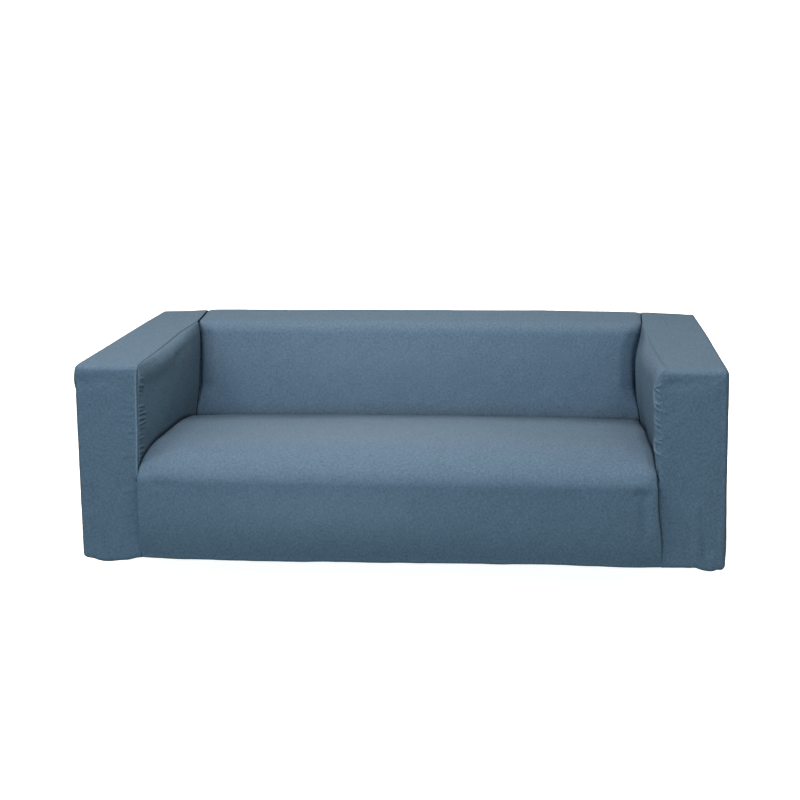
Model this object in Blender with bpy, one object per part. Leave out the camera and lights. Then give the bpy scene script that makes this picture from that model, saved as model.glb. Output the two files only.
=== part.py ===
"""A fitted slipcover with a seat, a back and two arms, in the shape in which it sits, hollow and open
underneath.

Nine panels of cloth, each one solid sheet, with the hem turned under along the bottom edge. The plan
frame has x to the right, y from the front plane to the rear and z up from the floor. Each panel is a
grid of points on its outer face, given a thickness inwards. The model's origin is under the cloth of
the back's top, so the finished panels are moved by minus that point.
"""

from math import pi

import bmesh
import bpy
import numpy as np

# Overall sizes of the fitted cover, in metres.
HALF_WIDTH = 0.900
DEPTH = 0.882
ARM_TOP = 0.660
HEM = 0.0985
CLOTH = 0.002

# Gaps between panels: at a seam, and where two panels are tucked together in a crease.
SEAM_GAP = 0.0006
CREASE_GAP = 0.0012

# Roundings: the outer edges, and the dip and slope of the seams along the arms' tops.
EDGE_R = 0.014
SEAM_DIP = 0.002
SEAM_SLOPE = 0.012

# The seat: its front stands out of the arms' front plane and rolls over in an ellipse.
SEAT_HALF = 0.720
SEAT_ROLL_Y = 0.180
SEAT_ROLL_Z = 0.330
SEAT_SIDE_TOP = 0.4115
SEAT_SIDE_FALL = 0.047
SEAT_FALL_FROM, SEAT_FALL_RUN = 0.23, 0.38
SEAT_CROWN = 0.020
SEAT_BULGE = 0.027
SEAT_MIDDLE_BULGE = 0.008
SEAT_HEM_STAND = 0.014
CREASE_DROP = 0.018
CREASE_R = 0.010

# The back: its face leans, swells in the middle and rolls over into the top.
BACK_FOOT_Y = 0.611
BACK_FOOT_Z = 0.386
BACK_LEAN = 0.1875
BACK_SWELL = 0.018
BACK_SWELL_Z, BACK_SWELL_REACH = 0.44, 0.30
BACK_ROLL_R = 0.045
BACK_ROLL_Z = 0.625
TUCK_BEHIND_BACK = 0.014

# The sides of the seat and the back roll over towards the arms and run on inwards, out of sight:
# the roll's radius and the depth that the cloth reaches behind its face.
HEM_SIDE = {"radius": 0.0040, "depth": 0.0055}
FRONT_SIDE = {"radius": 0.0090, "depth": 0.0160}
TOP_SIDE = {"radius": 0.0110, "depth": 0.0160}
TUCK_SIDE = {"radius": 0.0045, "depth": 0.0055}
BACK_SIDE = {"radius": 0.0060, "depth": 0.0120}
BACK_TOP_SIDE = {"radius": 0.0045, "depth": 0.0085}
BEHIND_FRONT = 0.010

# Hem turned under: its width along the long runs, and beside the corner notches.
HEM_TURN = 0.055
HEM_TURN_CORNER = 0.017
NOTCH_LENGTH, NOTCH_BLEND = 0.130, 0.050

# The place that holds the cover, under the cloth of the back's top at mid-width.
HOLD_Y = 0.780

CLOTH_COLOUR = (0.085, 0.135, 0.195, 1.0)
CLOTH_ROUGHNESS = 0.92

# Distance of each arm's seams and inner face from the middle plane, how far that face swells towards
# the seat in the middle and at the rear, and the radius of its front edge.
ARMS = {
    "left": {
        "sign": -1.0,
        "front_seam": {
            "at": (0.10, 0.34, 0.46, 0.60, 0.66),
            "x": (0.734, 0.732, 0.727, 0.725, 0.722),
        },
        "top_seam": {
            "at": (0.0, 0.19, 0.41, 0.66, 0.74, 0.82, 0.88),
            "x": (0.722, 0.715, 0.715, 0.722, 0.733, 0.742, 0.746),
        },
        "swell": 0.018,
        "rear_swell": 0.007,
        "rear_top": 0.0,
        "rear_swell_to": 0.66,
        "seam_r": 0.0068,
        "foot_set_back": 0.002,
        "roll_height": 0.034,
    },
    "right": {
        "sign": 1.0,
        "front_seam": {
            "at": (0.10, 0.17, 0.22, 0.26, 0.34, 0.41, 0.60),
            "x": (0.732, 0.730, 0.725, 0.719, 0.7166, 0.7127, 0.7077),
        },
        "top_seam": {
            "at": (0.0, 0.12, 0.32, 0.50, 0.60, 0.68, 0.75, 0.88),
            "x": (0.745, 0.738, 0.728, 0.7235, 0.7195, 0.7185, 0.7205, 0.7270),
        },
        "swell": 0.020,
        "rear_swell": 0.0125,
        "rear_top": 0.0050,
        "rear_swell_to": 0.63,
        "seam_r": 0.0180,
        "foot_set_back": 0.008,
        "roll_height": 0.048,
    },
}
FACE_SWELL_LOW, FACE_SWELL_HIGH = 0.34, 0.78
TOP_JOIN_FROM, TOP_JOIN_TO = 0.665, 0.705
REAR_SWELL_FROM, REAR_SWELL_TO = 0.34, 0.50

# Slow rises of the top and dips of the hem: a place on the plan, its reach each way and its height.
REAR_RISE = 0.009
RISE_FROM = 0.48
TOP_RISES = (
    {"name": "back crown", "x": 0.0, "y": 0.86, "reach_x": 0.80, "reach_y": 0.30, "height": 0.006},
    {"name": "left corner", "x": -0.90, "y": 0.90, "reach_x": 0.12, "reach_y": 0.20, "height": -0.004},
    {"name": "right corner", "x": 0.90, "y": 0.90, "reach_x": 0.12, "reach_y": 0.20, "height": -0.005},
    {"name": "left arm sag", "x": -0.81, "y": 0.32, "reach_x": 0.08, "reach_y": 0.25, "height": -0.002},
    {"name": "right arm sag", "x": 0.82, "y": 0.35, "reach_x": 0.08, "reach_y": 0.25, "height": -0.002},
)
HEM_DIPS = (
    {"name": "left front", "x": -0.832, "y": 0.02, "reach_x": 0.050, "reach_y": 0.10, "height": 0.015},
    {"name": "left inner", "x": -0.775, "y": 0.01, "reach_x": 0.022, "reach_y": 0.08, "height": 0.005},
    {"name": "right front", "x": 0.858, "y": 0.02, "reach_x": 0.030, "reach_y": 0.10, "height": 0.007},
    {"name": "left rear", "x": -0.840, "y": 0.87, "reach_x": 0.060, "reach_y": 0.08, "height": 0.008},
    {"name": "right rear", "x": 0.840, "y": 0.87, "reach_x": 0.050, "reach_y": 0.08, "height": 0.006},
    {"name": "seat middle", "x": 0.050, "y": -0.01, "reach_x": 0.400, "reach_y": 0.12, "height": -0.005},
    {"name": "seat right", "x": 0.420, "y": -0.01, "reach_x": 0.200, "reach_y": 0.12, "height": -0.005},
)
HEM_DIP_HEIGHT = 0.10

# How far the arms' outer sides stand out of the plain form, at the front corners and at the rear.
SIDE_BULGE = {
    "left": {"at": (0.10, 0.35, 0.66), "front": (0.0085, 0.0085, 0.0085), "rear": 0.0045},
    "right": {"at": (0.10, 0.35, 0.66), "front": (0.0080, 0.0060, 0.0055), "rear": 0.0020},
}
BULGE_FROM, BULGE_TO = 0.76, 0.885


# ---------------------------------------------------------------- small helpers
def smooth(low, high, value):
    """0 below low, 1 above high, and a soft step between them."""
    t = np.clip((value - low) / (high - low), 0.0, 1.0)
    return t * t * (3.0 - 2.0 * t)


def along(table, place, width=0.02):
    """A seam table's x at this place, with the table's corners softened."""
    offsets = np.linspace(-width, width, 5)
    return sum(np.interp(place + offset, table["at"], table["x"]) for offset in offsets) / len(offsets)


def mound(spot, x, y):
    """The spot's height, falling softly to 0 around its centre."""
    away_x = (x - spot["x"]) / spot["reach_x"]
    away_y = (y - spot["y"]) / spot["reach_y"]
    return spot["height"] * np.exp(-(away_x**2) - away_y**2)


def steps(low, high, pitch):
    """Even places from low to high, both included."""
    return np.linspace(low, high, max(2, round(abs(high - low) / pitch) + 1))


def joined(*runs):
    """Runs of places end to end, with the place that two runs share taken once."""
    return np.concatenate([runs[0]] + [run[1:] for run in runs[1:]])


# ---------------------------------------------------------------- the form that the panels share
def side_bulge(side, y, z):
    """How far this side of the cover stands out of the plain form."""
    table = SIDE_BULGE[side]
    front = np.interp(z, table["at"], table["front"])
    return front + (table["rear"] - front) * smooth(0.40, DEPTH, y)


def settle(points):
    """Moves points of the plain form to where the fitted cover has them."""
    x, y, z = points[..., 0], points[..., 1], points[..., 2]
    rise = REAR_RISE * np.clip(y / DEPTH, 0.0, 1.0) + sum(mound(spot, x, y) for spot in TOP_RISES)
    drop = sum(mound(spot, x, y) for spot in HEM_DIPS)
    bulge = np.where(x < 0.0, -side_bulge("left", y, z), side_bulge("right", y, z))
    bulge = bulge * smooth(BULGE_FROM, BULGE_TO, np.abs(x))
    rise = rise * smooth(RISE_FROM, ARM_TOP, z)
    drop = drop * (1.0 - smooth(HEM, HEM + HEM_DIP_HEIGHT, z))
    return np.stack([x + bulge, y, z + rise - drop], axis=-1)


def box_skin(x, y, z):
    """Where a point of the sharp outer box lies on the rounded one, and the outward direction there."""
    sharp = np.stack(np.broadcast_arrays(x, y, z), axis=-1).astype(float)
    low = np.array((-HALF_WIDTH, 0.0, HEM)) + EDGE_R
    high = np.array((HALF_WIDTH, DEPTH, ARM_TOP)) - EDGE_R
    core = np.clip(sharp, low, high)
    away = sharp - core
    away = away / np.maximum(np.linalg.norm(away, axis=-1, keepdims=True), 1e-9)
    return core + EDGE_R * away, away


def across(x, power):
    """1 at mid-width and 0 at the arms."""
    return 1.0 - np.minimum(np.abs(x) / SEAT_HALF, 1.0) ** power


def seat_bulge(x):
    """How far the seat's front stands out of the front plane."""
    return SEAT_BULGE + SEAT_MIDDLE_BULGE * across(x, 4.0)


def hem_stand(x):
    """How far the hem of the seat's front hangs out of the front plane."""
    return SEAT_HEM_STAND * across(x, 6.0)


def seat_top(x, y):
    """Height of the seat behind its front roll."""
    fall = SEAT_SIDE_FALL * (np.maximum(y - SEAT_FALL_FROM, 0.0) / SEAT_FALL_RUN) ** 3
    return SEAT_SIDE_TOP - fall + SEAT_CROWN * across(x, 2.6) * (1.0 - 0.65 * smooth(0.25, 0.60, y))


def seat_height(x, y):
    """Height of the seat with its front roll."""
    reach = SEAT_ROLL_Y + seat_bulge(x)
    forward = np.clip((SEAT_ROLL_Y - y) / reach, 0.0, 1.0)
    rolled = SEAT_ROLL_Z + (seat_top(x, SEAT_ROLL_Y) - SEAT_ROLL_Z) * np.sqrt(1.0 - forward**2)
    return np.where(y < SEAT_ROLL_Y, rolled, seat_top(x, y))


def back_y(x, z):
    """The back's face."""
    swell = BACK_SWELL * across(x, 3.0) * (1.0 - ((z - BACK_SWELL_Z) / BACK_SWELL_REACH) ** 2)
    return BACK_FOOT_Y + BACK_LEAN * (z - BACK_FOOT_Z) - swell


def face_x(arm, y, z):
    """Distance of an arm's inner face from the middle plane, without the rolls at its edges."""
    swell_y = smooth(0.0, 0.28, y) * (1.0 - 0.88 * smooth(0.34, 0.66, y))
    swell_z = np.sin(pi * np.clip((z - FACE_SWELL_LOW) / (FACE_SWELL_HIGH - FACE_SWELL_LOW), 0.0, 1.0))
    foot = arm["foot_set_back"] * smooth(0.0, 0.16, y)
    foot = foot * smooth(0.20, 0.30, z) * (1.0 - smooth(0.37, 0.48, z))
    top = arm["rear_swell_to"]
    rear = arm["rear_swell"] * (1.0 - smooth(top - 0.09, top, z)) - arm["rear_top"] * smooth(top - 0.05, top + 0.01, z)
    rear = rear * smooth(REAR_SWELL_FROM, REAR_SWELL_TO, y)
    return along(arm["front_seam"], z) - arm["swell"] * swell_y * swell_z - rear + foot


def front_share(y, z):
    """1 where an arm's inner seam runs up its front edge, and 0 along the top and beside the seat."""
    above_seat = smooth(SEAT_ROLL_Z, SHOULDER_Z, z)
    return above_seat * (1.0 - smooth(0.0, 0.02, y)) * (1.0 - smooth(0.63, ARM_TOP, z))


def groove(arm):
    """Depth of the seam up an arm's front edge."""
    return arm["seam_r"] * (1.0 - np.cos(pi / 4))


def arm_x(arm, y, z, front_roll=1.0):
    """Distance of an arm's inner face from the middle plane, with its rolls up to its seams."""
    face = face_x(arm, y, z)
    top = along(arm["top_seam"], y)
    below = np.clip((ARM_TOP - SEAM_DIP - z) / arm["roll_height"], 0.0, 1.0)
    over = 1.0 - np.sqrt(1.0 - (1.0 - below) ** 2)
    near = np.clip(arm["seam_r"] - np.maximum(y, groove(arm)), 0.0, arm["seam_r"])
    lip = arm["seam_r"] - np.sqrt(arm["seam_r"] ** 2 - near**2)
    x = face + (top - face) * over + front_roll * lip * (1.0 - over)
    return x + (top - x) * smooth(TOP_JOIN_FROM, TOP_JOIN_TO, y)


def hem_turn(run, length):
    """Width of the turned hem at a place along an edge of this length."""
    from_end = np.minimum(run, length - run)
    wide = smooth(NOTCH_LENGTH, NOTCH_LENGTH + NOTCH_BLEND, from_end)
    return HEM_TURN_CORNER + (HEM_TURN - HEM_TURN_CORNER) * wide


# ---------------------------------------------------------------- places along the panels' edges
EDGE_STEPS = EDGE_R * np.array((0.0, 0.4, 1.0))
SHOULDER_Z = float(seat_height(SEAT_HALF, 0.0)) - CREASE_DROP
TOP_RUN_END = float(back_y(SEAT_HALF, ARM_TOP - SEAM_DIP)) + TUCK_BEHIND_BACK
LOW_ROWS = steps(HEM + EDGE_R, SEAT_ROLL_Z, 0.053)
HIGH_ROWS = np.array((SHOULDER_Z, 0.370, 0.390, 0.420, 0.460, 0.510, 0.550, 0.580, 0.602, 0.624, ARM_TOP - EDGE_R))
TOP_RUN = joined(np.array((EDGE_R, 0.035, 0.065, 0.100, 0.140)), steps(0.140, TOP_RUN_END, 0.044))
REAR_RUN = joined(np.array((TOP_RUN_END, 0.705)), steps(0.705, DEPTH - EDGE_R, 0.055))
ROLL_TURNS = np.radians((30.0, 60.0, 90.0))
SEAT_COLUMNS = steps(-1.0, 1.0, 0.125)


def column(y, z):
    """Places (y, z) that share one of the two."""
    return np.stack(np.broadcast_arrays(y, z), axis=-1).astype(float)


def band_path():
    """Sharp places (y, z) from an arm's turned hem up its front, over the corner and to the rear."""
    return np.concatenate(
        [
            column([HEM_TURN_CORNER], HEM),
            column(EDGE_STEPS[::-1], HEM),
            column(0.0, HEM + EDGE_STEPS[1:]),
            column(0.0, LOW_ROWS[1:]),
            column(0.0, HIGH_ROWS),
            column(0.0, ARM_TOP - EDGE_STEPS[-2::-1]),
            column(EDGE_STEPS[1:-1], ARM_TOP),
            column(joined(TOP_RUN, REAR_RUN), ARM_TOP),
            column(DEPTH - EDGE_STEPS[-2:0:-1], ARM_TOP),
            column([DEPTH - SEAM_GAP], ARM_TOP),
        ]
    )


def into_groove(arm, y, z):
    """Draws a sharp place on an arm's side in to the depth of the seam, and round the corner."""
    dip = SEAM_DIP + (groove(arm) - SEAM_DIP) * front_share(y, z)
    centre_y, centre_z = EDGE_R, ARM_TOP - EDGE_R
    dy = np.minimum(y - centre_y, 0.0)
    dz = np.maximum(z - centre_z, 0.0)
    length = np.maximum(np.hypot(dy, dz), 1e-9)
    scale = (EDGE_R - dip) / EDGE_R * np.maximum(-dy, dz) / length
    return np.where(dy < 0.0, centre_y + dy * scale, y), np.where(dz > 0.0, centre_z + dz * scale, z)


def seam_direction(arm, y, z):
    """Outward direction at the seam between an arm's band and its inner face, halfway between the two."""
    away = box_skin(0.0, y, z)[1]
    away[..., 0] = -arm["sign"] * front_share(y, z)
    return away / np.linalg.norm(away, axis=-1, keepdims=True)


# ---------------------------------------------------------------- the panels
def grid_directions(points):
    """Outward directions of a grid with rows that run up or to the rear, and columns to the right."""
    right = points[:-1, 1:] - points[:-1, :-1] + points[1:, 1:] - points[1:, :-1]
    up = points[1:, :-1] - points[:-1, :-1] + points[1:, 1:] - points[:-1, 1:]
    cell = np.cross(right, up)
    cell = cell / np.maximum(np.linalg.norm(cell, axis=-1, keepdims=True), 1e-15)
    cell = np.pad(cell, ((1, 1), (1, 1), (0, 0)), mode="edge")
    corner = cell[:-1, :-1] + cell[1:, :-1] + cell[:-1, 1:] + cell[1:, 1:]
    return corner / np.linalg.norm(corner, axis=-1, keepdims=True)


def arm_band(arm):
    """The strip over an arm, its front and its top in one piece."""
    y, z = band_path().T
    lift = smooth(SEAT_ROLL_Z, SHOULDER_Z, z)
    seam = arm_x(arm, *into_groove(arm, y, z), front_roll=lift) + SEAM_GAP / 2
    inset = max(SEAM_SLOPE, 0.9 * arm["seam_r"]) * np.array((0.0, 0.3, 1.0))
    mitre = np.where(z <= HEM, y, 0.0)
    inner = seam[:, None] + inset
    outer = HALF_WIDTH - mitre[:, None] - EDGE_STEPS[::-1]
    outer[:, -1] -= SEAM_GAP / 2
    flat = np.linspace(inner[:, -1], outer[:, 0], 5, axis=1)
    x = np.concatenate([inner, flat[:, 1:-1], outer], axis=1)
    place, away = box_skin(x, y[:, None], z[:, None])
    turned = np.maximum(arm["seam_r"] * np.sin(pi / 4) - inset, 0.0)
    front_dip = arm["seam_r"] - np.sqrt(arm["seam_r"] ** 2 - turned**2)
    top_dip = SEAM_DIP * (1.0 - inset / inset[-1]) ** 2
    share = front_share(y, z)[:, None]
    dip = share * front_dip + (1.0 - share) * top_dip * np.maximum(lift, 0.2)[:, None]
    place[:, : len(inset)] -= away[:, : len(inset)] * dip[..., None]
    place[..., 0] *= arm["sign"]
    away[..., 0] *= arm["sign"]
    away[:, 0] = seam_direction(arm, y, z)
    return place, away


def arm_inside(arm):
    """An arm's face towards the seat."""
    sharp_y = joined(EDGE_STEPS, TOP_RUN)
    sharp_z = np.concatenate([HIGH_ROWS, ARM_TOP - EDGE_STEPS[-2::-1]])
    share = ((sharp_z - SHOULDER_Z) / (ARM_TOP - SHOULDER_Z))[:, None]
    foot = seat_height(SEAT_HALF, sharp_y) - CREASE_DROP
    y, z = into_groove(arm, sharp_y[None, :], sharp_z[:, None] + (foot - SHOULDER_Z) * (1.0 - share) ** 2)
    rear = TOP_RUN_END - BACK_LEAN * (ARM_TOP - SEAM_DIP - z)
    behind = np.clip((y - EDGE_R) / (TOP_RUN_END - EDGE_R), 0.0, 1.0)
    y = y + behind * (rear - TOP_RUN_END)
    x = arm_x(arm, y, z)
    x[-1] -= SEAM_GAP / 2
    y[:, 0] += SEAM_GAP / 2
    place = np.stack([arm["sign"] * x, y, z], axis=-1)
    away = -arm["sign"] * grid_directions(place)
    away[:, 0] = seam_direction(arm, np.zeros_like(sharp_z), sharp_z)
    away[-1] = seam_direction(arm, sharp_y, np.full_like(sharp_y, ARM_TOP))
    return place, away


def seat_hem(x, share):
    """The hem turned under the seat's front."""
    wide = HEM_TURN_CORNER + (HEM_TURN - HEM_TURN_CORNER) * smooth(0.0, 0.06, SEAT_HALF - np.abs(x))
    return EDGE_R + (wide - EDGE_R) * share - hem_stand(x), HEM


def hem_edge(x, place):
    """The rounding of the hem's edge: places below 0 are under it, and those above 0 are up the front."""
    rounded = box_skin(0.0, max(-place, 0.0), HEM + max(place, 0.0))[0]
    return rounded[1] - hem_stand(x), rounded[2]


def seat_front(x, z):
    """The seat's front, which stands further out the higher it is."""
    rise = (z - HEM - EDGE_R) / (SEAT_ROLL_Z - HEM - EDGE_R)
    return -seat_bulge(x) + (seat_bulge(x) - hem_stand(x)) * (1.0 - rise) ** 3.5, z


def seat_roll(x, turn):
    """The seat's front roll."""
    y = SEAT_ROLL_Y - (SEAT_ROLL_Y + seat_bulge(x)) * np.cos(turn)
    return y, SEAT_ROLL_Z + (seat_top(x, SEAT_ROLL_Y) - SEAT_ROLL_Z) * np.sin(turn)


def crease(x):
    """Where the seat meets the back."""
    z = seat_top(x, BACK_FOOT_Y - 0.01)
    return back_y(x, z) - CREASE_GAP, z


def seat_lie(x, share):
    """The seat's top from its front roll to the crease."""
    y = SEAT_ROLL_Y + (crease(x)[0] - CREASE_R - SEAT_ROLL_Y) * share
    return y, seat_top(x, y)


def seat_tuck(x, turn):
    """The seat's cloth rolling down into the crease, parallel to the back's face."""
    z = seat_top(x, crease(x)[0] - CREASE_R) - CREASE_R * (1.0 - np.cos(turn))
    return back_y(x, z) - CREASE_GAP - CREASE_R * (1.0 - np.sin(turn)), z


def seat_end(x, drop):
    """The end of the seat's cloth in the crease."""
    z = crease(x)[1] - drop
    return back_y(x, z) - CREASE_GAP, z


def back_roll_start(x):
    """Lean of the back's face where its top roll starts."""
    swell = BACK_SWELL * across(x, 3.0) * 2.0 * (BACK_ROLL_Z - BACK_SWELL_Z) / BACK_SWELL_REACH**2
    return np.arctan(BACK_LEAN + swell)


def back_face(x, share):
    """The back's face from below the crease to its top roll."""
    foot = crease(x)[1] - CREASE_DROP
    end = ARM_TOP - BACK_ROLL_R * (1.0 - np.sin(back_roll_start(x)))
    z = foot + (end - foot) * share
    return back_y(x, z), z


def back_roll(x, share):
    """The roll from the back's face to its top."""
    lean = back_roll_start(x)
    face_y, face_z = back_face(x, 1.0)
    turn = lean + (pi / 2 - lean) * share
    y = face_y + BACK_ROLL_R * (np.cos(lean) - np.cos(turn))
    return y, face_z + BACK_ROLL_R * (np.sin(turn) - np.sin(lean))


def back_top(x, share):
    """The back's flat top."""
    start = back_roll(x, 1.0)[0]
    return start + (DEPTH - EDGE_R - start) * share, ARM_TOP


def back_rear(x, inset):
    """The rounding from the back's top to the rear."""
    rounded = box_skin(0.0, DEPTH - inset, ARM_TOP)[0]
    return rounded[1], rounded[2]


def side_between(first, second, share):
    """A side's radius and depth between two others."""
    return {key: first[key] + (second[key] - first[key]) * share for key in first}


def seat_rows():
    """Each row of the seat's panel: its shape, its place along that shape and its sides."""
    rows = [(seat_hem, share, HEM_SIDE) for share in (1.0, 0.5)]
    rows += [(hem_edge, place, HEM_SIDE) for place in (*-EDGE_STEPS[::-1], *EDGE_STEPS[1:])]
    for z in LOW_ROWS[1:]:
        rows.append((seat_front, z, side_between(HEM_SIDE, FRONT_SIDE, smooth(HEM, 0.20, z))))
    for turn in np.radians(np.linspace(0.0, 90.0, 9))[1:]:
        rows.append((seat_roll, turn, side_between(FRONT_SIDE, TOP_SIDE, turn / (pi / 2))))
    for share in np.linspace(0.0, 1.0, 11)[1:]:
        rows.append((seat_lie, share, side_between(TOP_SIDE, TUCK_SIDE, smooth(0.6, 1.0, share))))
    rows += [(seat_tuck, turn, TUCK_SIDE) for turn in ROLL_TURNS]
    rows.append((seat_end, CREASE_DROP, TUCK_SIDE))
    return rows


def back_rows():
    """Each row of the back's panel: its shape, its place along that shape and its sides."""
    rows = [(back_face, share, BACK_SIDE) for share in np.linspace(0.0, 1.0, 10)]
    for share in (0.2, 0.4, 0.6, 0.8, 1.0):
        rows.append((back_roll, share, side_between(BACK_SIDE, BACK_TOP_SIDE, share)))
    rows += [(back_top, share, BACK_TOP_SIDE) for share in (0.33, 0.67, 1.0)]
    rows += [(back_rear, inset, BACK_TOP_SIDE) for inset in (*EDGE_STEPS[-2:0:-1], SEAM_GAP / 2)]
    return rows


def drawn_side(arm, rows, keep_behind):
    """Columns of points down a panel's side towards an arm: its roll, and then its hidden run."""
    x = arm["sign"] * SEAT_HALF
    edge = np.array([shape(x, place) for shape, place, _ in rows], float)
    radius, depth = (np.array([side[key] for _, _, side in rows]) for key in ("radius", "depth"))
    run = np.gradient(edge, axis=0)
    out = np.stack([-run[:, 1], run[:, 0]], axis=-1)
    out = out / np.linalg.norm(out, axis=-1, keepdims=True)
    turns = (0.0, *ROLL_TURNS)
    insets = [radius * (1.0 - np.sin(turn)) for turn in turns] + [0.0 * radius]
    depths = [radius * (1.0 - np.cos(turn)) for turn in turns] + [depth]
    columns = []
    for inset, deep in zip(insets, depths):
        y, z = (edge - out * deep[:, None]).T
        if deep is depth:
            y = np.maximum(y, keep_behind)
        away_from_middle = arm_x(arm, y, z, 0.0) - CREASE_GAP - inset
        columns.append(np.stack([arm["sign"] * away_from_middle, y, z], axis=-1))
    return columns


def drawn_panel(rows, keep_behind):
    """A panel between the arms."""
    left = drawn_side(ARMS["left"], rows, keep_behind)
    right = drawn_side(ARMS["right"], rows, keep_behind)
    columns = left[::-1]
    for share in (SEAT_COLUMNS[1:-1] + 1.0) / 2.0:
        x = left[0][:, 0] + (right[0][:, 0] - left[0][:, 0]) * share
        points = [(at, *shape(at, place)) for at, (shape, place, _) in zip(x, rows)]
        columns.append(np.array(points, float))
    place = np.stack(columns + right, axis=1)
    return place, grid_directions(place)


def seat():
    """The seat's top and front in one piece."""
    rows = seat_rows()
    on_front = [shape in (seat_front, seat_roll) for shape, _, _ in rows]
    return drawn_panel(rows, np.where(on_front, BEHIND_FRONT, -1.0))


def back():
    """The back's face and top in one piece."""
    place, away = drawn_panel(back_rows(), -1.0)
    sideways = away[-1, :, :1]
    seam = np.sqrt(1.0 - sideways**2) * box_skin(0.0, DEPTH - SEAM_GAP / 2, ARM_TOP)[1]
    away[-1] = np.hstack([sideways, seam[:, 1:]])
    return place, away


def wall(length):
    """An outer wall's grid: the place along it, how far it's turned under, and its height."""
    rows = [(HEM_TURN, HEM), ((HEM_TURN + EDGE_R) / 2, HEM)]
    rows += [(turned, HEM) for turned in EDGE_STEPS[::-1]]
    upright = steps(HEM + EDGE_R, ARM_TOP - EDGE_R, 0.10)
    heights = joined(HEM + EDGE_STEPS, upright, ARM_TOP - EDGE_STEPS[:0:-1])
    rows += [(0.0, z) for z in heights[1:]] + [(0.0, ARM_TOP - SEAM_GAP / 2)]
    places = joined(EDGE_STEPS, steps(EDGE_R, length - EDGE_R, 0.11), length - EDGE_STEPS[::-1])
    places[[0, -1]] += SEAM_GAP / 2, -SEAM_GAP / 2
    turned, z = (np.array(values)[:, None] for values in zip(*rows))
    share = np.clip((turned - EDGE_R) / (HEM_TURN - EDGE_R), 0.0, 1.0)
    turned = np.minimum(turned, EDGE_R) + (hem_turn(places, length) - EDGE_R) * share
    mitre = np.minimum(turned, HEM_TURN_CORNER)
    return places + mitre * (1.0 - 2.0 * places / length), turned, z


def arm_outside(arm):
    """An arm's outer face."""
    place, turned, z = wall(DEPTH)
    return box_skin(arm["sign"] * (HALF_WIDTH - turned), place, z)


def back_outside():
    """The rear face, as wide as the whole cover."""
    place, turned, z = wall(2.0 * HALF_WIDTH)
    return box_skin(place - HALF_WIDTH, DEPTH - turned, z)


# ---------------------------------------------------------------- the solids
def fabric():
    """The cloth that all the panels are cut from."""
    material = bpy.data.materials.new("cloth")
    material.use_nodes = True
    shader = material.node_tree.nodes["Principled BSDF"]
    shader.inputs["Base Color"].default_value = CLOTH_COLOUR
    shader.inputs["Roughness"].default_value = CLOTH_ROUGHNESS
    shader.inputs["Metallic"].default_value = 0.0
    return material


def add_sheet(name, place, away, material, collection):
    """One closed sheet of cloth with this outer face, thickened inwards."""
    hold = settle(np.array((0.0, HOLD_Y, ARM_TOP - CLOTH)))
    outer = (settle(place) - hold).reshape(-1, 3)
    inner = (settle(place - away * CLOTH) - hold).reshape(-1, 3)
    rows, columns = place.shape[:2]
    bm = bmesh.new()
    bmesh.ops.create_grid(bm, x_segments=columns - 1, y_segments=rows - 1, size=1.0)
    station = bm.verts.layers.int.new("station")
    for vert in bm.verts:
        row = round((vert.co.y + 1.0) / 2.0 * (rows - 1))
        vert[station] = row * columns + round((vert.co.x + 1.0) / 2.0 * (columns - 1))
    face_verts = bm.verts[:]
    whole = bm.verts[:] + bm.edges[:] + bm.faces[:]
    grown = bmesh.ops.extrude_face_region(bm, geom=whole, use_keep_orig=True)
    for vert in (item for item in grown["geom"] if isinstance(item, bmesh.types.BMVert)):
        vert.co = inner[vert[station]]
    for vert in face_verts:
        vert.co = outer[vert[station]]
    bmesh.ops.recalc_face_normals(bm, faces=bm.faces[:])
    if bm.calc_volume(signed=True) < 0.0:
        bmesh.ops.reverse_faces(bm, faces=bm.faces[:])
    mesh = bpy.data.meshes.new(name)
    bm.to_mesh(mesh)
    bm.free()
    mesh.shade_smooth()
    mesh.set_sharp_from_angle(angle=pi / 4)
    mesh.materials.append(material)
    collection.objects.link(bpy.data.objects.new(name, mesh))


def main():
    for stale in list(bpy.data.objects):
        bpy.data.objects.remove(stale, do_unlink=True)
    collection = bpy.data.collections.new("sofa slipcover")
    bpy.context.scene.collection.children.link(collection)
    cloth = fabric()
    add_sheet("seat_front", *seat(), cloth, collection)
    add_sheet("back_inside", *back(), cloth, collection)
    add_sheet("back_outside", *back_outside(), cloth, collection)
    for side, arm in ARMS.items():
        add_sheet("arm_band_" + side, *arm_band(arm), cloth, collection)
        add_sheet("arm_inside_" + side, *arm_inside(arm), cloth, collection)
        add_sheet("arm_outside_" + side, *arm_outside(arm), cloth, collection)


main()
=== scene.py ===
"""A fitted slipcover with a seat, a back and two arms, sewn from nine panels of heather cloth.

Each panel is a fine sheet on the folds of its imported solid. The plan frame has x to the right, y from
the front plane to the rear and z up from the floor. The finished sheets are moved by minus HOLD, the
place under the back's top that holds the cover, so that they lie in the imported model's frame.
"""

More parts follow.
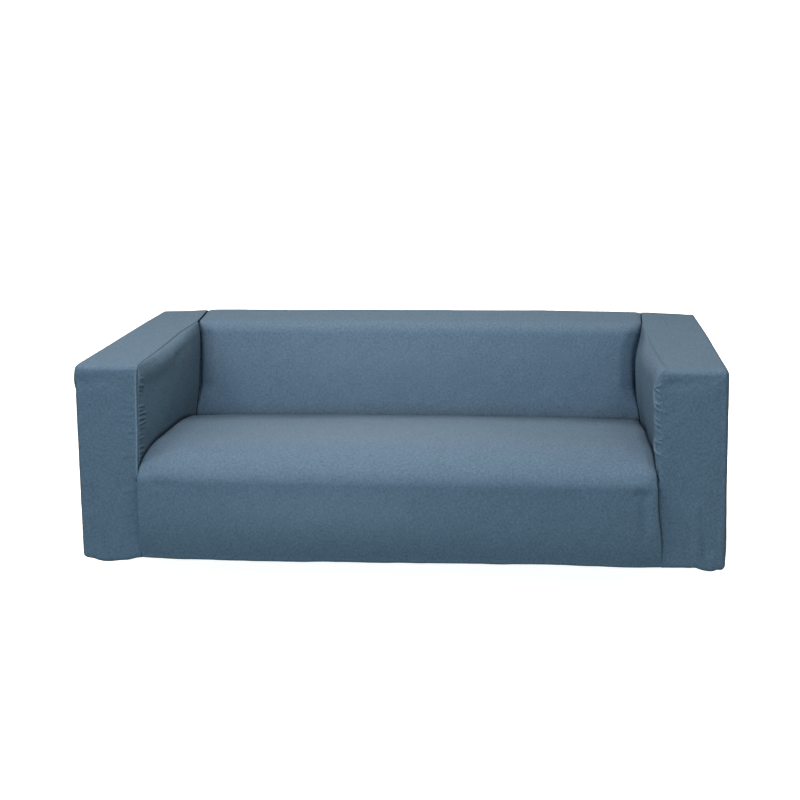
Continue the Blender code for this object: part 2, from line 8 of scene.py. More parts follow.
from collections import namedtuple
from math import pi, radians
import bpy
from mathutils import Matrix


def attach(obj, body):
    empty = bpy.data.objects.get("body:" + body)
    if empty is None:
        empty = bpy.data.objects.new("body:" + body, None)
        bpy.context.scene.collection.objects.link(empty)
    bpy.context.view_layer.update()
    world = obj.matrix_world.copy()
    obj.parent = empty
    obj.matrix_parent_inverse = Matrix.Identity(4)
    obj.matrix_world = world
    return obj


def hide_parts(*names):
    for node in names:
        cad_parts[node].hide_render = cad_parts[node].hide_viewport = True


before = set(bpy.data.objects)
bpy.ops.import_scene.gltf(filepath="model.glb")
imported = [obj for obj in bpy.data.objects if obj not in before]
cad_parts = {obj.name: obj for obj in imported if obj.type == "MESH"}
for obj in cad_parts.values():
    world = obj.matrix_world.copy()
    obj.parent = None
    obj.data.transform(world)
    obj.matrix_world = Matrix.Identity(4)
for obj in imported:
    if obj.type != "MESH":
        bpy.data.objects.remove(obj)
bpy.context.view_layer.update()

from types import SimpleNamespace

import bmesh
import bpy
import numpy as np
from bpy.props import FloatProperty, FloatVectorProperty, PointerProperty
from mathutils import Matrix

bl_info = {
    "name": "Sofa slipcover",
    "version": (1, 0, 0),
    "blender": (4, 5, 0),
    "location": "View3D > Sidebar > Slipcover",
    "description": "Sews a fitted slipcover from nine panels of heather cloth",
    "category": "Object",
}

# Overall sizes of the fitted cover, in metres.
HALF_WIDTH = 0.900
DEPTH = 0.882
ARM_TOP = 0.660
HEM = 0.0985
PACKED_CLOTH = 0.002
SEAM_GAP = 0.0006
CREASE_GAP = 0.0012

# Roundings: the outer edges, and the slope of the cloth down to the seams along the arms' tops.
EDGE_R = 0.014
SEAM_SLOPE = 0.012

# The seat: its front stands out of the arms' front plane and rolls over in an ellipse.
SEAT_HALF = 0.720
SEAT_ROLL_Y = 0.180
SEAT_ROLL_Z = 0.330
SEAT_SIDE_TOP = 0.4115
SEAT_SIDE_FALL = 0.047
SEAT_FALL_FROM, SEAT_FALL_RUN = 0.23, 0.38
SEAT_CROWN = 0.020
SEAT_BULGE = 0.027
SEAT_MIDDLE_BULGE = 0.008
SEAT_HEM_STAND = 0.014
CREASE_DROP = 0.018
CREASE_R = 0.010

# The back: its face leans, swells in the middle and rolls over into the top.
BACK_FOOT_Y = 0.611
BACK_FOOT_Z = 0.386
BACK_LEAN = 0.1875
BACK_SWELL = 0.018
BACK_SWELL_Z, BACK_SWELL_REACH = 0.44, 0.30
BACK_ROLL_R = 0.045
BACK_ROLL_Z = 0.625
TUCK_BEHIND_BACK = 0.014

# The sides of the seat and the back: the radius of the roll towards the arms, how deep its hidden run
# lies, and the gap beside it. SIDE_OVERLAP is how far the hidden run passes into the arm's face.
HEM_SIDE = np.array((0.0026, 0.0120, -0.0003))
FRONT_SIDE = np.array((0.0075, 0.0200, -0.0002))
TOP_SIDE = np.array((0.0120, 0.0240, 0.0026))
TUCK_SIDE = np.array((0.0060, 0.0120, 0.0026))
BACK_SIDE = np.array((0.0420, 0.0260, 0.0024))
BACK_TOP_SIDE = np.array((0.0110, 0.0110, 0.0012))
BACK_SIDE_WIDENS = (0.10, 0.45)  # shares of the way up the back's face
SIDE_OVERLAP = 0.0065
BEHIND_FRONT = 0.010

# Hem turned under: its width along the long runs, and beside the corner notches.
HEM_TURN = 0.055
HEM_TURN_CORNER = 0.017
NOTCH_LENGTH, NOTCH_BLEND = 0.130, 0.050

# How deep each step of a seam's allowance lies behind the seam.
ALLOWANCE = (0.0008, 0.0020, 0.0045, 0.0085, 0.0125)

# How far the allowance along an arm's top leans outwards under the band.
SEAM_LEAN = 0.8

HOLD_Y = 0.780

# Distance of each arm's seams and inner face from the middle plane, as places and their x, how far that
# face swells towards the seat in the middle and at the rear, and the radius of its front edge.
ARMS = {
    "left": SimpleNamespace(
        sign=-1.0,
        front_seam=(
            (0.1, 0.34, 0.46, 0.6, 0.66),
            (0.734, 0.732, 0.727, 0.725, 0.722),
        ),
        top_seam=(
            (0.0, 0.08, 0.22, 0.4, 0.5, 0.6, 0.68, 0.76, 0.88),
            (0.724, 0.727, 0.7285, 0.735, 0.7385, 0.7335, 0.7285, 0.734, 0.745),
        ),
        swell=0.018,
        rear_swell=0.0045,
        rear_top=0.0,
        rear_swell_to=0.66,
        seam_r=0.0068,
        seam_gap=0.0006,
        top_dip=0.002,
        foot_set_back=0.002,
        roll_height=0.034,
        seat_roll=1.0,
    ),
    "right": SimpleNamespace(
        sign=1.0,
        front_seam=(
            (0.1, 0.17, 0.22, 0.26, 0.34, 0.41, 0.6),
            (0.732, 0.73, 0.725, 0.719, 0.7166, 0.7127, 0.7077),
        ),
        top_seam=(
            (0.0, 0.12, 0.32, 0.5, 0.6, 0.68, 0.75, 0.88),
            (0.741, 0.733, 0.7245, 0.72, 0.7165, 0.717, 0.72, 0.727),
        ),
        swell=0.02,
        rear_swell=0.0125,
        rear_top=0.005,
        rear_swell_to=0.63,
        seam_r=0.018,
        seam_gap=-0.0004,
        top_dip=0.0002,
        foot_set_back=0.008,
        roll_height=0.048,
        seat_roll=1.8,
    ),
}
FACE_SWELL_LOW, FACE_SWELL_HIGH = 0.34, 0.78
FACE_SWELL_RISES, FACE_SWELL_FALLS, FACE_SWELL_LOSS = (0.0, 0.28), (0.34, 0.66), 0.88
FOOT_RUN, FOOT_RISES, FOOT_FALLS = (0.0, 0.16), (0.20, 0.30), (0.37, 0.48)
TOP_JOIN_FROM, TOP_JOIN_TO = 0.665, 0.705
REAR_SWELL_FROM, REAR_SWELL_TO = 0.34, 0.50

# Slow rises of the top and dips of the hem: x and y on the plan, the reach along each, and the height.
REAR_RISE = 0.009
RISE_FROM = 0.48
TOP_RISES = (
    (0.0, 0.86, 0.8, 0.3, 0.006),  # back crown
    (-0.9, 0.9, 0.12, 0.2, -0.004),  # left corner
    (0.9, 0.9, 0.12, 0.2, -0.005),  # right corner
    (-0.81, 0.32, 0.08, 0.25, -0.002),  # left arm sag
    (0.82, 0.35, 0.08, 0.25, -0.002),  # right arm sag
)
HEM_DIPS = (
    (-0.832, 0.02, 0.05, 0.1, 0.015),  # left front
    (-0.775, 0.01, 0.022, 0.08, 0.005),  # left inner
    (0.858, 0.02, 0.03, 0.1, 0.007),  # right front
    (-0.84, 0.87, 0.06, 0.08, 0.008),  # left rear
    (0.84, 0.87, 0.05, 0.08, 0.006),  # right rear
    (0.05, -0.01, 0.4, 0.12, -0.005),  # seat middle
    (0.42, -0.01, 0.2, 0.12, -0.005),  # seat right
)
HEM_DIP_HEIGHT = 0.10

# How far the arms' outer sides stand out of the plain form, at the front corners and at the rear.
SIDE_BULGE = {
    "left": {"at": (0.10, 0.35, 0.66), "front": (0.0085, 0.0085, 0.0085), "rear": 0.0045},
    "right": {"at": (0.10, 0.35, 0.66), "front": (0.0080, 0.0060, 0.0055), "rear": 0.0020},
}
BULGE_FROM, BULGE_TO = 0.76, 0.885

# Lumps that every panel shares: their middle, their reach, and how they move the cloth there.
LUMPS = (
    ((-0.905, 0.01, 0.618), (0.03, 0.05, 0.024), (-0.004, 0.0, 0.0)),  # left corner
    ((-0.905, 0.01, 0.585), (0.02, 0.03, 0.008), (0.002, 0.0, 0.0)),  # left notch
    ((0.82, 0.0, 0.098), (0.01, 0.03, 0.03), (0.0, 0.0, 0.003)),  # right hem
    ((0.876, 0.0, 0.098), (0.008, 0.03, 0.02), (0.0, 0.0, 0.003)),  # right hem, outer
    ((-0.868, 0.0, 0.09), (0.008, 0.03, 0.02), (0.0, 0.0, 0.002)),  # left hem
    ((-0.82, 0.0, 0.66), (0.13, 0.02, 0.02), (0.0, 0.0035, -0.0035)),  # left top edge
    ((0.82, 0.0, 0.66), (0.13, 0.02, 0.02), (0.0, 0.0035, -0.0035)),  # right top edge
    ((-0.05, 0.88, 0.68), (0.95, 0.18, 0.06), (0.0, 0.0, 0.0034)),  # back top
    ((-0.68, 0.88, 0.68), (0.14, 0.18, 0.06), (0.0, 0.0, 0.003)),  # back top, left
    ((0.44, 0.88, 0.68), (0.2, 0.18, 0.06), (0.0, 0.0, 0.0024)),  # back top, right
    ((0.91, 0.0, 0.11), (0.03, 0.2, 0.04), (-0.003, 0.0, 0.0)),  # right low corner
)

# Puckers on the arms' inner faces, from the front seam: their height up the seam, how far they run
# back, how far they fall on the way, their width and how far they stand out.
PUCKERS = {
    "left": (
        (0.622, 0.03, 0.01, 0.0045, 0.0012),
        (0.602, 0.046, 0.018, 0.006, 0.002),
        (0.589, 0.04, 0.013, 0.0045, 0.0016),
        (0.577, 0.034, 0.01, 0.004, 0.0012),
        (0.558, 0.022, 0.004, 0.0035, 0.001),
        (0.541, 0.048, 0.012, 0.005, 0.0018),
        (0.53, 0.04, 0.008, 0.004, 0.0015),
        (0.519, 0.062, 0.014, 0.005, 0.002),
        (0.506, 0.058, 0.017, 0.006, 0.0024),
        (0.49, 0.06, 0.006, 0.0055, 0.0022),
        (0.478, 0.05, 0.008, 0.004, 0.0014),
        (0.461, 0.036, 0.006, 0.004, 0.001),
        (0.448, 0.04, 0.006, 0.004, 0.0017),
        (0.424, 0.046, 0.012, 0.0045, 0.0018),
        (0.409, 0.042, 0.009, 0.0045, 0.002),
        (0.396, 0.032, 0.007, 0.0035, 0.0014),
        (0.386, 0.026, 0.005, 0.0035, 0.001),
    ),
    "right": (
        (0.6195, 0.03, 0.03, 0.0042, 0.0015),
        (0.592, 0.04, -0.04, 0.0052, 0.0018),
        (0.574, 0.03, -0.04, 0.0038, 0.0009),
        (0.555, 0.052, -0.052, 0.0056, 0.0026),
        (0.54, 0.056, -0.056, 0.0048, 0.0025),
        (0.511, 0.036, -0.036, 0.0042, 0.0013),
        (0.499, 0.046, -0.032, 0.0048, 0.0019),
        (0.48, 0.034, -0.036, 0.0038, 0.0011),
        (0.468, 0.028, 0.02, 0.0034, 0.0011),
        (0.454, 0.038, -0.012, 0.0046, 0.0018),
        (0.415, 0.05, -0.055, 0.0062, 0.0027),
    ),
}

# Soft ridges, and troughs where the height is below 0: start, end, width and height.
FOLDS = {
    "arm_band_left": (
        ((-0.905, 0.0, 0.612), (-0.735, 0.0, 0.622), 0.02, -0.0022),
        ((-0.905, 0.0, 0.602), (-0.85, 0.0, 0.612), 0.014, -0.002),
        ((-0.738, 0.0, 0.52), (-0.792, 0.0, 0.516), 0.005, 0.0008),
        ((-0.738, 0.0, 0.498), (-0.784, 0.0, 0.502), 0.004, 0.0007),
        ((-0.738, 0.0, 0.47), (-0.79, 0.0, 0.466), 0.006, 0.0009),
        ((-0.738, 0.0, 0.449), (-0.778, 0.0, 0.452), 0.004, 0.0007),
        ((-0.738, 0.0, 0.402), (-0.79, 0.0, 0.394), 0.006, 0.0009),
        ((-0.724, 0.0, 0.324), (-0.754, 0.0, 0.33), 0.005, -0.003),
        ((-0.738, 0.0, 0.302), (-0.8, 0.0, 0.292), 0.006, 0.0012),
        ((-0.752, 0.0, 0.275), (-0.766, 0.0, 0.14), 0.012, -0.0014),
        ((-0.873, 0.0, 0.25), (-0.868, 0.0, 0.1), 0.01, 0.002),
        ((-0.848, 0.0, 0.19), (-0.843, 0.0, 0.09), 0.01, -0.0014),
        ((-0.8, 0.0, 0.17), (-0.792, 0.0, 0.092), 0.009, 0.0014),
    ),
    "arm_band_right": (
        ((0.735, 0.0, 0.616), (0.895, 0.0, 0.634), 0.018, -0.0022),
        ((0.728, 0.0, 0.612), (0.78, 0.0, 0.626), 0.012, -0.0024),
        ((0.869, 0.0, 0.64), (0.867, 0.0, 0.56), 0.006, 0.0014),
        ((0.882, 0.0, 0.64), (0.882, 0.0, 0.12), 0.008, -0.0012),
        ((0.817, 0.0, 0.3), (0.832, 0.0, 0.095), 0.012, 0.003),
        ((0.838, 0.0, 0.2), (0.852, 0.0, 0.092), 0.009, -0.0022),
        ((0.866, 0.0, 0.16), (0.862, 0.0, 0.09), 0.006, 0.0022),
        ((0.802, 0.0, 0.23), (0.806, 0.0, 0.092), 0.01, -0.0016),
        ((0.722, 0.0, 0.32), (0.748, 0.0, 0.3), 0.005, 0.0018),
        ((0.724, 0.0, 0.42), (0.75, 0.0, 0.412), 0.005, 0.001),
        ((0.72, 0.0, 0.548), (0.745, 0.0, 0.536), 0.0045, 0.001),
        ((0.72, 0.0, 0.59), (0.742, 0.0, 0.578), 0.0045, 0.0009),
    ),
    "arm_inside_left": (
        ((-0.715, 0.6, 0.64), (-0.724, 0.66, 0.56), 0.012, 0.0022),
        ((-0.712, 0.3, 0.61), (-0.716, 0.56, 0.63), 0.016, -0.0016),
        ((-0.722, -0.06, 0.622), (-0.712, 0.42, 0.622), 0.03, 0.0065),
    ),
    "arm_inside_right": (
        ((0.718, 0.6, 0.615), (0.708, 0.42, 0.56), 0.016, 0.0026),
        ((0.716, 0.47, 0.64), (0.706, 0.33, 0.56), 0.012, -0.0018),
        ((0.704, 0.3, 0.6), (0.706, 0.26, 0.47), 0.012, 0.0018),
        ((0.712, 0.09, 0.64), (0.714, 0.08, 0.56), 0.008, 0.0018),
    ),
    "seat_front": (
        ((0.7, -0.02, 0.335), (0.713, -0.008, 0.15), 0.008, 0.0042),
        ((0.676, -0.03, 0.33), (0.69, -0.02, 0.15), 0.014, -0.006),
        ((0.65, -0.03, 0.322), (0.712, -0.02, 0.312), 0.012, -0.004),
        ((-0.712, -0.02, 0.33), (-0.722, -0.01, 0.18), 0.01, -0.002),
        ((-0.7, -0.03, 0.33), (-0.6, -0.03, 0.318), 0.016, -0.0022),
    ),
    "back_inside": (
        ((-0.69, 0.62, 0.47), (-0.705, 0.66, 0.62), 0.014, 0.0022),
        ((0.68, 0.62, 0.47), (0.69, 0.65, 0.62), 0.016, 0.002),
    ),
    "back_outside": (
        ((-0.84, 0.882, 0.64), (-0.64, 0.882, 0.52), 0.03, 0.002),
        ((0.85, 0.882, 0.64), (0.66, 0.882, 0.5), 0.034, 0.0022),
        ((-0.84, 0.882, 0.11), (-0.7, 0.882, 0.23), 0.026, 0.0018),
        ((0.845, 0.882, 0.11), (0.72, 0.882, 0.25), 0.028, 0.0018),
    ),
    "arm_outside_left": (
        ((-0.905, 0.04, 0.63), (-0.905, 0.2, 0.5), 0.026, 0.002),
        ((-0.905, 0.85, 0.63), (-0.905, 0.7, 0.48), 0.028, 0.0018),
        ((-0.905, 0.06, 0.11), (-0.905, 0.15, 0.26), 0.022, 0.0018),
    ),
    "arm_outside_right": (
        ((0.905, 0.04, 0.63), (0.905, 0.18, 0.48), 0.028, 0.002),
        ((0.905, 0.85, 0.63), (0.905, 0.72, 0.5), 0.026, 0.0018),
        ((0.905, 0.06, 0.11), (0.905, 0.17, 0.24), 0.022, 0.0018),
    ),
}
FADE_IN, FADE_OUT = 0.18, 0.50
PUCKER_REACH, PUCKER_HEIGHT, PUCKER_WAVE = 1.3, 1.7, 1.8
PUCKER_LEAD = {"left": 0.0, "right": 0.014}
PUCKER_BEND = {"left": 1.4, "right": 1.0}

# Rounded swellings and hollows: their middle, their reach and how far they stand out.
SWELLINGS = {
    "seat_front": (
        ((-0.665, 0.01, 0.392), (0.06, 0.06, 0.035), 0.005),
        ((0.69, 0.00, 0.372), (0.036, 0.05, 0.024), 0.005),
        ((0.1, 0.3, 0.43), (0.3, 0.12, 0.1), 0.002),
        ((-0.35, 0.4, 0.41), (0.2, 0.1, 0.1), -0.002),
        ((0.42, -0.03, 0.27), (0.16, 0.1, 0.06), -0.0012),
        ((-0.18, -0.03, 0.205), (0.42, 0.12, 0.09), 0.0068),
    ),
    "back_inside": (
        ((-0.6, 0.63, 0.5), (0.07, 0.1, 0.1), 0.003),
        ((0.61, 0.63, 0.47), (0.06, 0.1, 0.09), 0.0026),
        ((0.05, 0.62, 0.48), (0.25, 0.1, 0.06), -0.0012),
        ((-0.1, 0.65, 0.535), (0.55, 0.14, 0.085), 0.0065),
    ),
}

# Slow unevenness of all the cloth: turns per metre along x, y and z, shift and height.
UNEVENNESS = (
    ((3.1, 1.7, 2.3), 0.1, 0.0005),
    ((-5.3, 4.1, 3.7), 0.45, 0.00032),
    ((8.9, -7.3, 9.7), 0.72, 0.0002),
    ((-13.0, 11.0, 17.0), 0.31, 0.00013),
    ((21.0, 23.0, -19.0), 0.88, 0.00009),
)

# The stitched seams' dark line, painted as the stitches and as the shade in each seam's groove, and the
# rubbed edge beside the one up each arm's front.
STITCH_PITCH = 0.0085
SEAM_SHADE_REACH, TOP_SHADE_REACH = 0.0018, 0.0003
WEAR_FROM_SEAM, WEAR_WIDTH = 0.0050, 0.0022
QUIET_SEAMS = {"arm_band_right": 0.10, "arm_inside_right": 0.0, "seat_front": 0.30}

# Painted shade in short nips beside an arm's front seam: start, end, width and how dark the shade is painted.
NIP_SHADES = {
    "arm_band_left": (
        ((-0.722, 0.0, 0.3235), (-0.752, 0.0, 0.3275), 0.0028, 0.75),
    ),
    "arm_band_right": (
        ((0.708, 0.0, 0.3325), (0.736, 0.0, 0.316), 0.0026, 0.6),
    ),
}

# Patches where the seat and the back are painted paler: the middle, the reach and how much.
PALE_PATCHES = {
    "seat_front": (
        ((-0.08, 0.18, 0.43), (0.46, 0.15, 0.12), 0.32),
        ((-0.22, -0.03, 0.27), (0.34, 0.1, 0.08), 0.26),
    ),
    "back_inside": (
        ((-0.16, 0.64, 0.51), (0.34, 0.14, 0.1), 0.22),
    ),
}

# The band's side towards the seat ends at this distance from the middle plane.
BAND_INNER_SIDE = 0.78

# Painted shade in the cloth's colour: how dark the creases around the seat are painted, how far that shade
# reaches up from them, and over which run the seat is painted darker towards the back. The right arm's inner
# face is painted in shade all over, more so low down.
SEAT_PAINTED_SHADE = (0.31, 0.46)
ARM_CREASE_RISE, ARM_CREASE_REACH, BACK_CREASE_REACH = 0.005, 0.010, 0.008
INNER_SHADE, INNER_SHADE_LOW, INNER_SHADE_RUN, INNER_SHADE_FADES = 0.14, 0.16, (0.0, 0.10), (0.44, 0.62)
CREASE_SHADES = {"arm_inside_left": 1.0, "arm_inside_right": 0.7, "back_inside": 0.90, "seat_front": 0.52}

# Relief fades over FLAT_AT_SEAM towards a seam, but for the puckers on the right arm.
FLAT_AT_SEAM = 0.0045

# Small gathers along every seam: their pitch, how far it wanders, over what run, and their share.
GATHER_REACH = 0.011
GATHER_HEIGHT = 0.00038
GATHERS = (
    (0.0113, 1.9, 0.061, 0.55),
    (0.0071, 1.3, 0.043, 0.45),
)

# A panel's grid of places and outward directions, and how far each place is along and away from a seam.
Panel = namedtuple("Panel", "place away seam_run seam_away")


# ---------------- small helpers
def smooth(low, high, value):
    """0 below low, 1 above high, and a soft step between them."""
    t = np.clip((value - low) / (high - low), 0.0, 1.0)
    return t * t * (3.0 - 2.0 * t)


def shares(count):
    """This many even shares from 0 to 1."""
    return np.linspace(0.0, 1.0, count)


def along(table, place, width=0.02):
    """A seam table's x at this place, with the corners between its places softened."""
    offsets = np.linspace(-width, width, 5)
    return sum(np.interp(place + offset, *table) for offset in offsets) / len(offsets)


def mound(x, y, at_x, at_y, reach_x, reach_y, height):
    """A height that falls softly to 0 around its centre."""
    return height * np.exp(-(((x - at_x) / reach_x) ** 2) - ((y - at_y) / reach_y) ** 2)


def steps(low, high, pitch):
    """Even places from low to high, both included."""
    return np.linspace(low, high, max(2, round(abs(high - low) / pitch) + 1))


def joined(*runs):
    """Runs of places end to end, with the place that two runs share taken once."""
    return np.concatenate([runs[0]] + [run[1:] for run in runs[1:]])


def graded(low, high, edge_pitch, edge_reach, pitch):
    """Places from low to high, closer together near both ends."""
    near = steps(0.0, edge_reach, edge_pitch)
    return joined(low + near, steps(low + edge_reach, high - edge_reach, pitch), high - near[::-1])


def run_along(points, axis):
    """The distance along a grid of points from its first row or column."""
    step = np.diff(points, axis=axis, prepend=np.take(points, [0], axis=axis))
    return np.cumsum(np.linalg.norm(step, axis=-1), axis=axis)


# ---------------- the form that the panels share
def side_bulge(side, y, z):
    """How far this side of the cover stands out of the plain form."""
    table = SIDE_BULGE[side]
    front = np.interp(z, table["at"], table["front"])
    return front + (table["rear"] - front) * smooth(0.40, DEPTH, y)


def settle(points):
    """Moves points of the plain form to where the fitted cover has them."""
    x, y, z = points[..., 0], points[..., 1], points[..., 2]
    rise = REAR_RISE * np.clip(y / DEPTH, 0.0, 1.0) + sum(mound(x, y, *row) for row in TOP_RISES)
    drop = sum(mound(x, y, *row) for row in HEM_DIPS)
    bulge = np.where(x < 0.0, -side_bulge("left", y, z), side_bulge("right", y, z))
    bulge = bulge * smooth(BULGE_FROM, BULGE_TO, np.abs(x))
    rise = rise * smooth(RISE_FROM, ARM_TOP, z)
    drop = drop * (1.0 - smooth(HEM, HEM + HEM_DIP_HEIGHT, z))
    return np.stack([x + bulge, y, z + rise - drop], axis=-1)


HOLD = settle(np.array((0.0, HOLD_Y, ARM_TOP - PACKED_CLOTH)))


def lumps(points):
    """How far the shared lumps move these points."""
    moved = np.zeros_like(points)
    for at, reach, move in LUMPS:
        moved += swelling(points, at, reach, 1.0)[..., None] * np.array(move)
    return moved


def box_skin(x, y, z):
    """Where a point of the sharp outer box lies on the rounded one, and the outward direction there."""
    sharp = np.stack(np.broadcast_arrays(x, y, z), axis=-1).astype(float)
    low = np.array((-HALF_WIDTH, 0.0, HEM)) + EDGE_R
    high = np.array((HALF_WIDTH, DEPTH, ARM_TOP)) - EDGE_R
    core = np.clip(sharp, low, high)
    away = sharp - core
    away = away / np.maximum(np.linalg.norm(away, axis=-1, keepdims=True), 1e-9)
    return core + EDGE_R * away, away


def across(x, power):
    """1 at mid-width and 0 at the arms."""
    return 1.0 - np.minimum(np.abs(x) / SEAT_HALF, 1.0) ** power


def seat_bulge(x):
    """How far the seat's front stands out of the front plane."""
    return SEAT_BULGE + SEAT_MIDDLE_BULGE * across(x, 4.0)


def hem_stand(x):
    """How far the hem of the seat's front hangs out of the front plane."""
    return SEAT_HEM_STAND * across(x, 6.0)


def seat_top(x, y):
    """Height of the seat behind its front roll."""
    fall = SEAT_SIDE_FALL * (np.maximum(y - SEAT_FALL_FROM, 0.0) / SEAT_FALL_RUN) ** 3
    return SEAT_SIDE_TOP - fall + SEAT_CROWN * across(x, 2.6) * (1.0 - 0.65 * smooth(0.25, 0.60, y))


def seat_height(x, y):
    """Height of the seat with its front roll."""
    reach = SEAT_ROLL_Y + seat_bulge(x)
    forward = np.clip((SEAT_ROLL_Y - y) / reach, 0.0, 1.0)
    rolled = SEAT_ROLL_Z + (seat_top(x, SEAT_ROLL_Y) - SEAT_ROLL_Z) * np.sqrt(1.0 - forward**2)
    return np.where(y < SEAT_ROLL_Y, rolled, seat_top(x, y))


def back_y(x, z):
    """The back's face."""
    swell = BACK_SWELL * across(x, 3.0) * (1.0 - ((z - BACK_SWELL_Z) / BACK_SWELL_REACH) ** 2)
    return BACK_FOOT_Y + BACK_LEAN * (z - BACK_FOOT_Z) - swell


def face_x(arm, y, z):
    """Distance of an arm's inner face from the middle plane, without the rolls at its edges."""
    swell_y = smooth(*FACE_SWELL_RISES, y) * (1.0 - FACE_SWELL_LOSS * smooth(*FACE_SWELL_FALLS, y))
    swell_z = np.sin(pi * np.clip((z - FACE_SWELL_LOW) / (FACE_SWELL_HIGH - FACE_SWELL_LOW), 0.0, 1.0))
    foot = arm.foot_set_back * smooth(*FOOT_RUN, y)
    foot = foot * smooth(*FOOT_RISES, z) * (1.0 - smooth(*FOOT_FALLS, z))
    top = arm.rear_swell_to
    rear = arm.rear_swell * (1.0 - smooth(top - 0.09, top, z))
    rear = rear - arm.rear_top * smooth(top - 0.05, top + 0.01, z)
    rear = rear * smooth(REAR_SWELL_FROM, REAR_SWELL_TO, y)
    return along(arm.front_seam, z) - arm.swell * swell_y * swell_z - rear + foot


def front_share(y, z):
    """1 where an arm's inner seam runs up its front edge, and 0 along the top and beside the seat."""
    above_seat = smooth(SEAT_ROLL_Z, SHOULDER_Z, z)
    return above_seat * (1.0 - smooth(0.0, 0.02, y)) * (1.0 - smooth(0.63, ARM_TOP, z))


def groove(arm):
    """Depth of the seam up an arm's front edge."""
    return arm.seam_r * (1.0 - np.cos(pi / 4))


def arm_x(arm, y, z, front_roll=1.0):
    """Distance of an arm's inner face from the middle plane, with its rolls up to its seams."""
    face = face_x(arm, y, z)
    top = along(arm.top_seam, y)
    below = np.clip((ARM_TOP - arm.top_dip - z) / arm.roll_height, 0.0, 1.0)
    over = 1.0 - np.sqrt(1.0 - (1.0 - below) ** 2)
    near = np.clip(arm.seam_r - np.maximum(y, groove(arm)), 0.0, arm.seam_r)
    lip = arm.seam_r - np.sqrt(arm.seam_r ** 2 - near**2)
    x = face + (top - face) * over + front_roll * lip * (1.0 - over)
    return x + (top - x) * smooth(TOP_JOIN_FROM, TOP_JOIN_TO, y)


def hem_turn(run, length):
    """Width of the turned hem at a place along an edge of this length."""
    from_end = np.minimum(run, length - run)
    wide = smooth(NOTCH_LENGTH, NOTCH_LENGTH + NOTCH_BLEND, from_end)
    return HEM_TURN_CORNER + (HEM_TURN - HEM_TURN_CORNER) * wide


# ---------------- places along the panels' edges
EDGE_STEPS = EDGE_R * shares(7)
SHOULDER_Z = float(seat_height(SEAT_HALF, 0.0)) - CREASE_DROP
TOP_RUN_END = float(back_y(SEAT_HALF, ARM_TOP)) + TUCK_BEHIND_BACK
LOW_ROWS = steps(HEM + EDGE_R, SHOULDER_Z, 0.0036)
HIGH_ROWS = steps(SHOULDER_Z, ARM_TOP - EDGE_R, 0.0020)
TOP_RUN = joined(steps(EDGE_R, 0.09, 0.0022), steps(0.09, TOP_RUN_END, 0.0050))
REAR_RUN = joined(steps(TOP_RUN_END, 0.705, 0.004), steps(0.705, DEPTH - EDGE_R, 0.0060))
ROLL_TURNS = np.radians(np.linspace(0.0, 90.0, 7))[1:]
ROLL_REACH = 0.010
SEAT_COLUMNS = graded(0.0, 1.0, 0.0016, 0.040, 0.0070)

# The columns of a panel's side over which its roll is eased into the flat, and how often.
EASE_FROM, EASE_TO, EASE_TIMES = 5, 22, 14


def column(y, z):
    """Places (y, z) that share one of the two."""
    return np.stack(np.broadcast_arrays(y, z), axis=-1).astype(float)


def band_path():
    """Sharp places (y, z) from an arm's turned hem up its front, over the corner and to the rear."""
    return np.concatenate(
        [
            column([HEM_TURN_CORNER], HEM),
            column(EDGE_STEPS[::-1], HEM),
            column(0.0, HEM + EDGE_STEPS[1:]),
            column(0.0, LOW_ROWS[1:-1]),
            column(0.0, HIGH_ROWS),
            column(0.0, ARM_TOP - EDGE_STEPS[-2::-1]),
            column(EDGE_STEPS[1:-1], ARM_TOP),
            column(joined(TOP_RUN, REAR_RUN), ARM_TOP),
            column(DEPTH - EDGE_STEPS[-2:0:-1], ARM_TOP),
            column([DEPTH - SEAM_GAP], ARM_TOP),
        ]
    )


def into_groove(arm, y, z):
    """Draws a sharp place on an arm's side in to the depth of the seam, and round the corner."""
    dip = arm.top_dip + (groove(arm) - arm.top_dip) * front_share(y, z)
    centre_y, centre_z = EDGE_R, ARM_TOP - EDGE_R
    dy = np.minimum(y - centre_y, 0.0)
    dz = np.maximum(z - centre_z, 0.0)
    length = np.maximum(np.hypot(dy, dz), 1e-9)
    scale = (EDGE_R - dip) / EDGE_R * np.maximum(-dy, dz) / length
    return np.where(dy < 0.0, centre_y + dy * scale, y), np.where(dz > 0.0, centre_z + dz * scale, z)


def seam_direction(arm, y, z):
    """Outward direction at the seam between an arm's band and its inner face, between the two."""
    away = box_skin(0.0, y, z)[1]
    on_top = smooth(ARM_TOP - EDGE_R, ARM_TOP, z)
    away[..., 0] = -arm.sign * np.maximum(front_share(y, z), SEAM_LEAN * on_top)
    return away / np.linalg.norm(away, axis=-1, keepdims=True)


def grid_directions(points):
    """Outward directions of a grid with rows that run up or to the rear, and columns to the right."""
    right = points[:-1, 1:] - points[:-1, :-1] + points[1:, 1:] - points[1:, :-1]
    up = points[1:, :-1] - points[:-1, :-1] + points[1:, 1:] - points[:-1, 1:]
    cell = np.cross(right, up)
    cell = cell / np.maximum(np.linalg.norm(cell, axis=-1, keepdims=True), 1e-15)
    cell = np.pad(cell, ((1, 1), (1, 1), (0, 0)), mode="edge")
    corner = cell[:-1, :-1] + cell[1:, :-1] + cell[:-1, 1:] + cell[1:, 1:]
    return corner / np.linalg.norm(corner, axis=-1, keepdims=True)


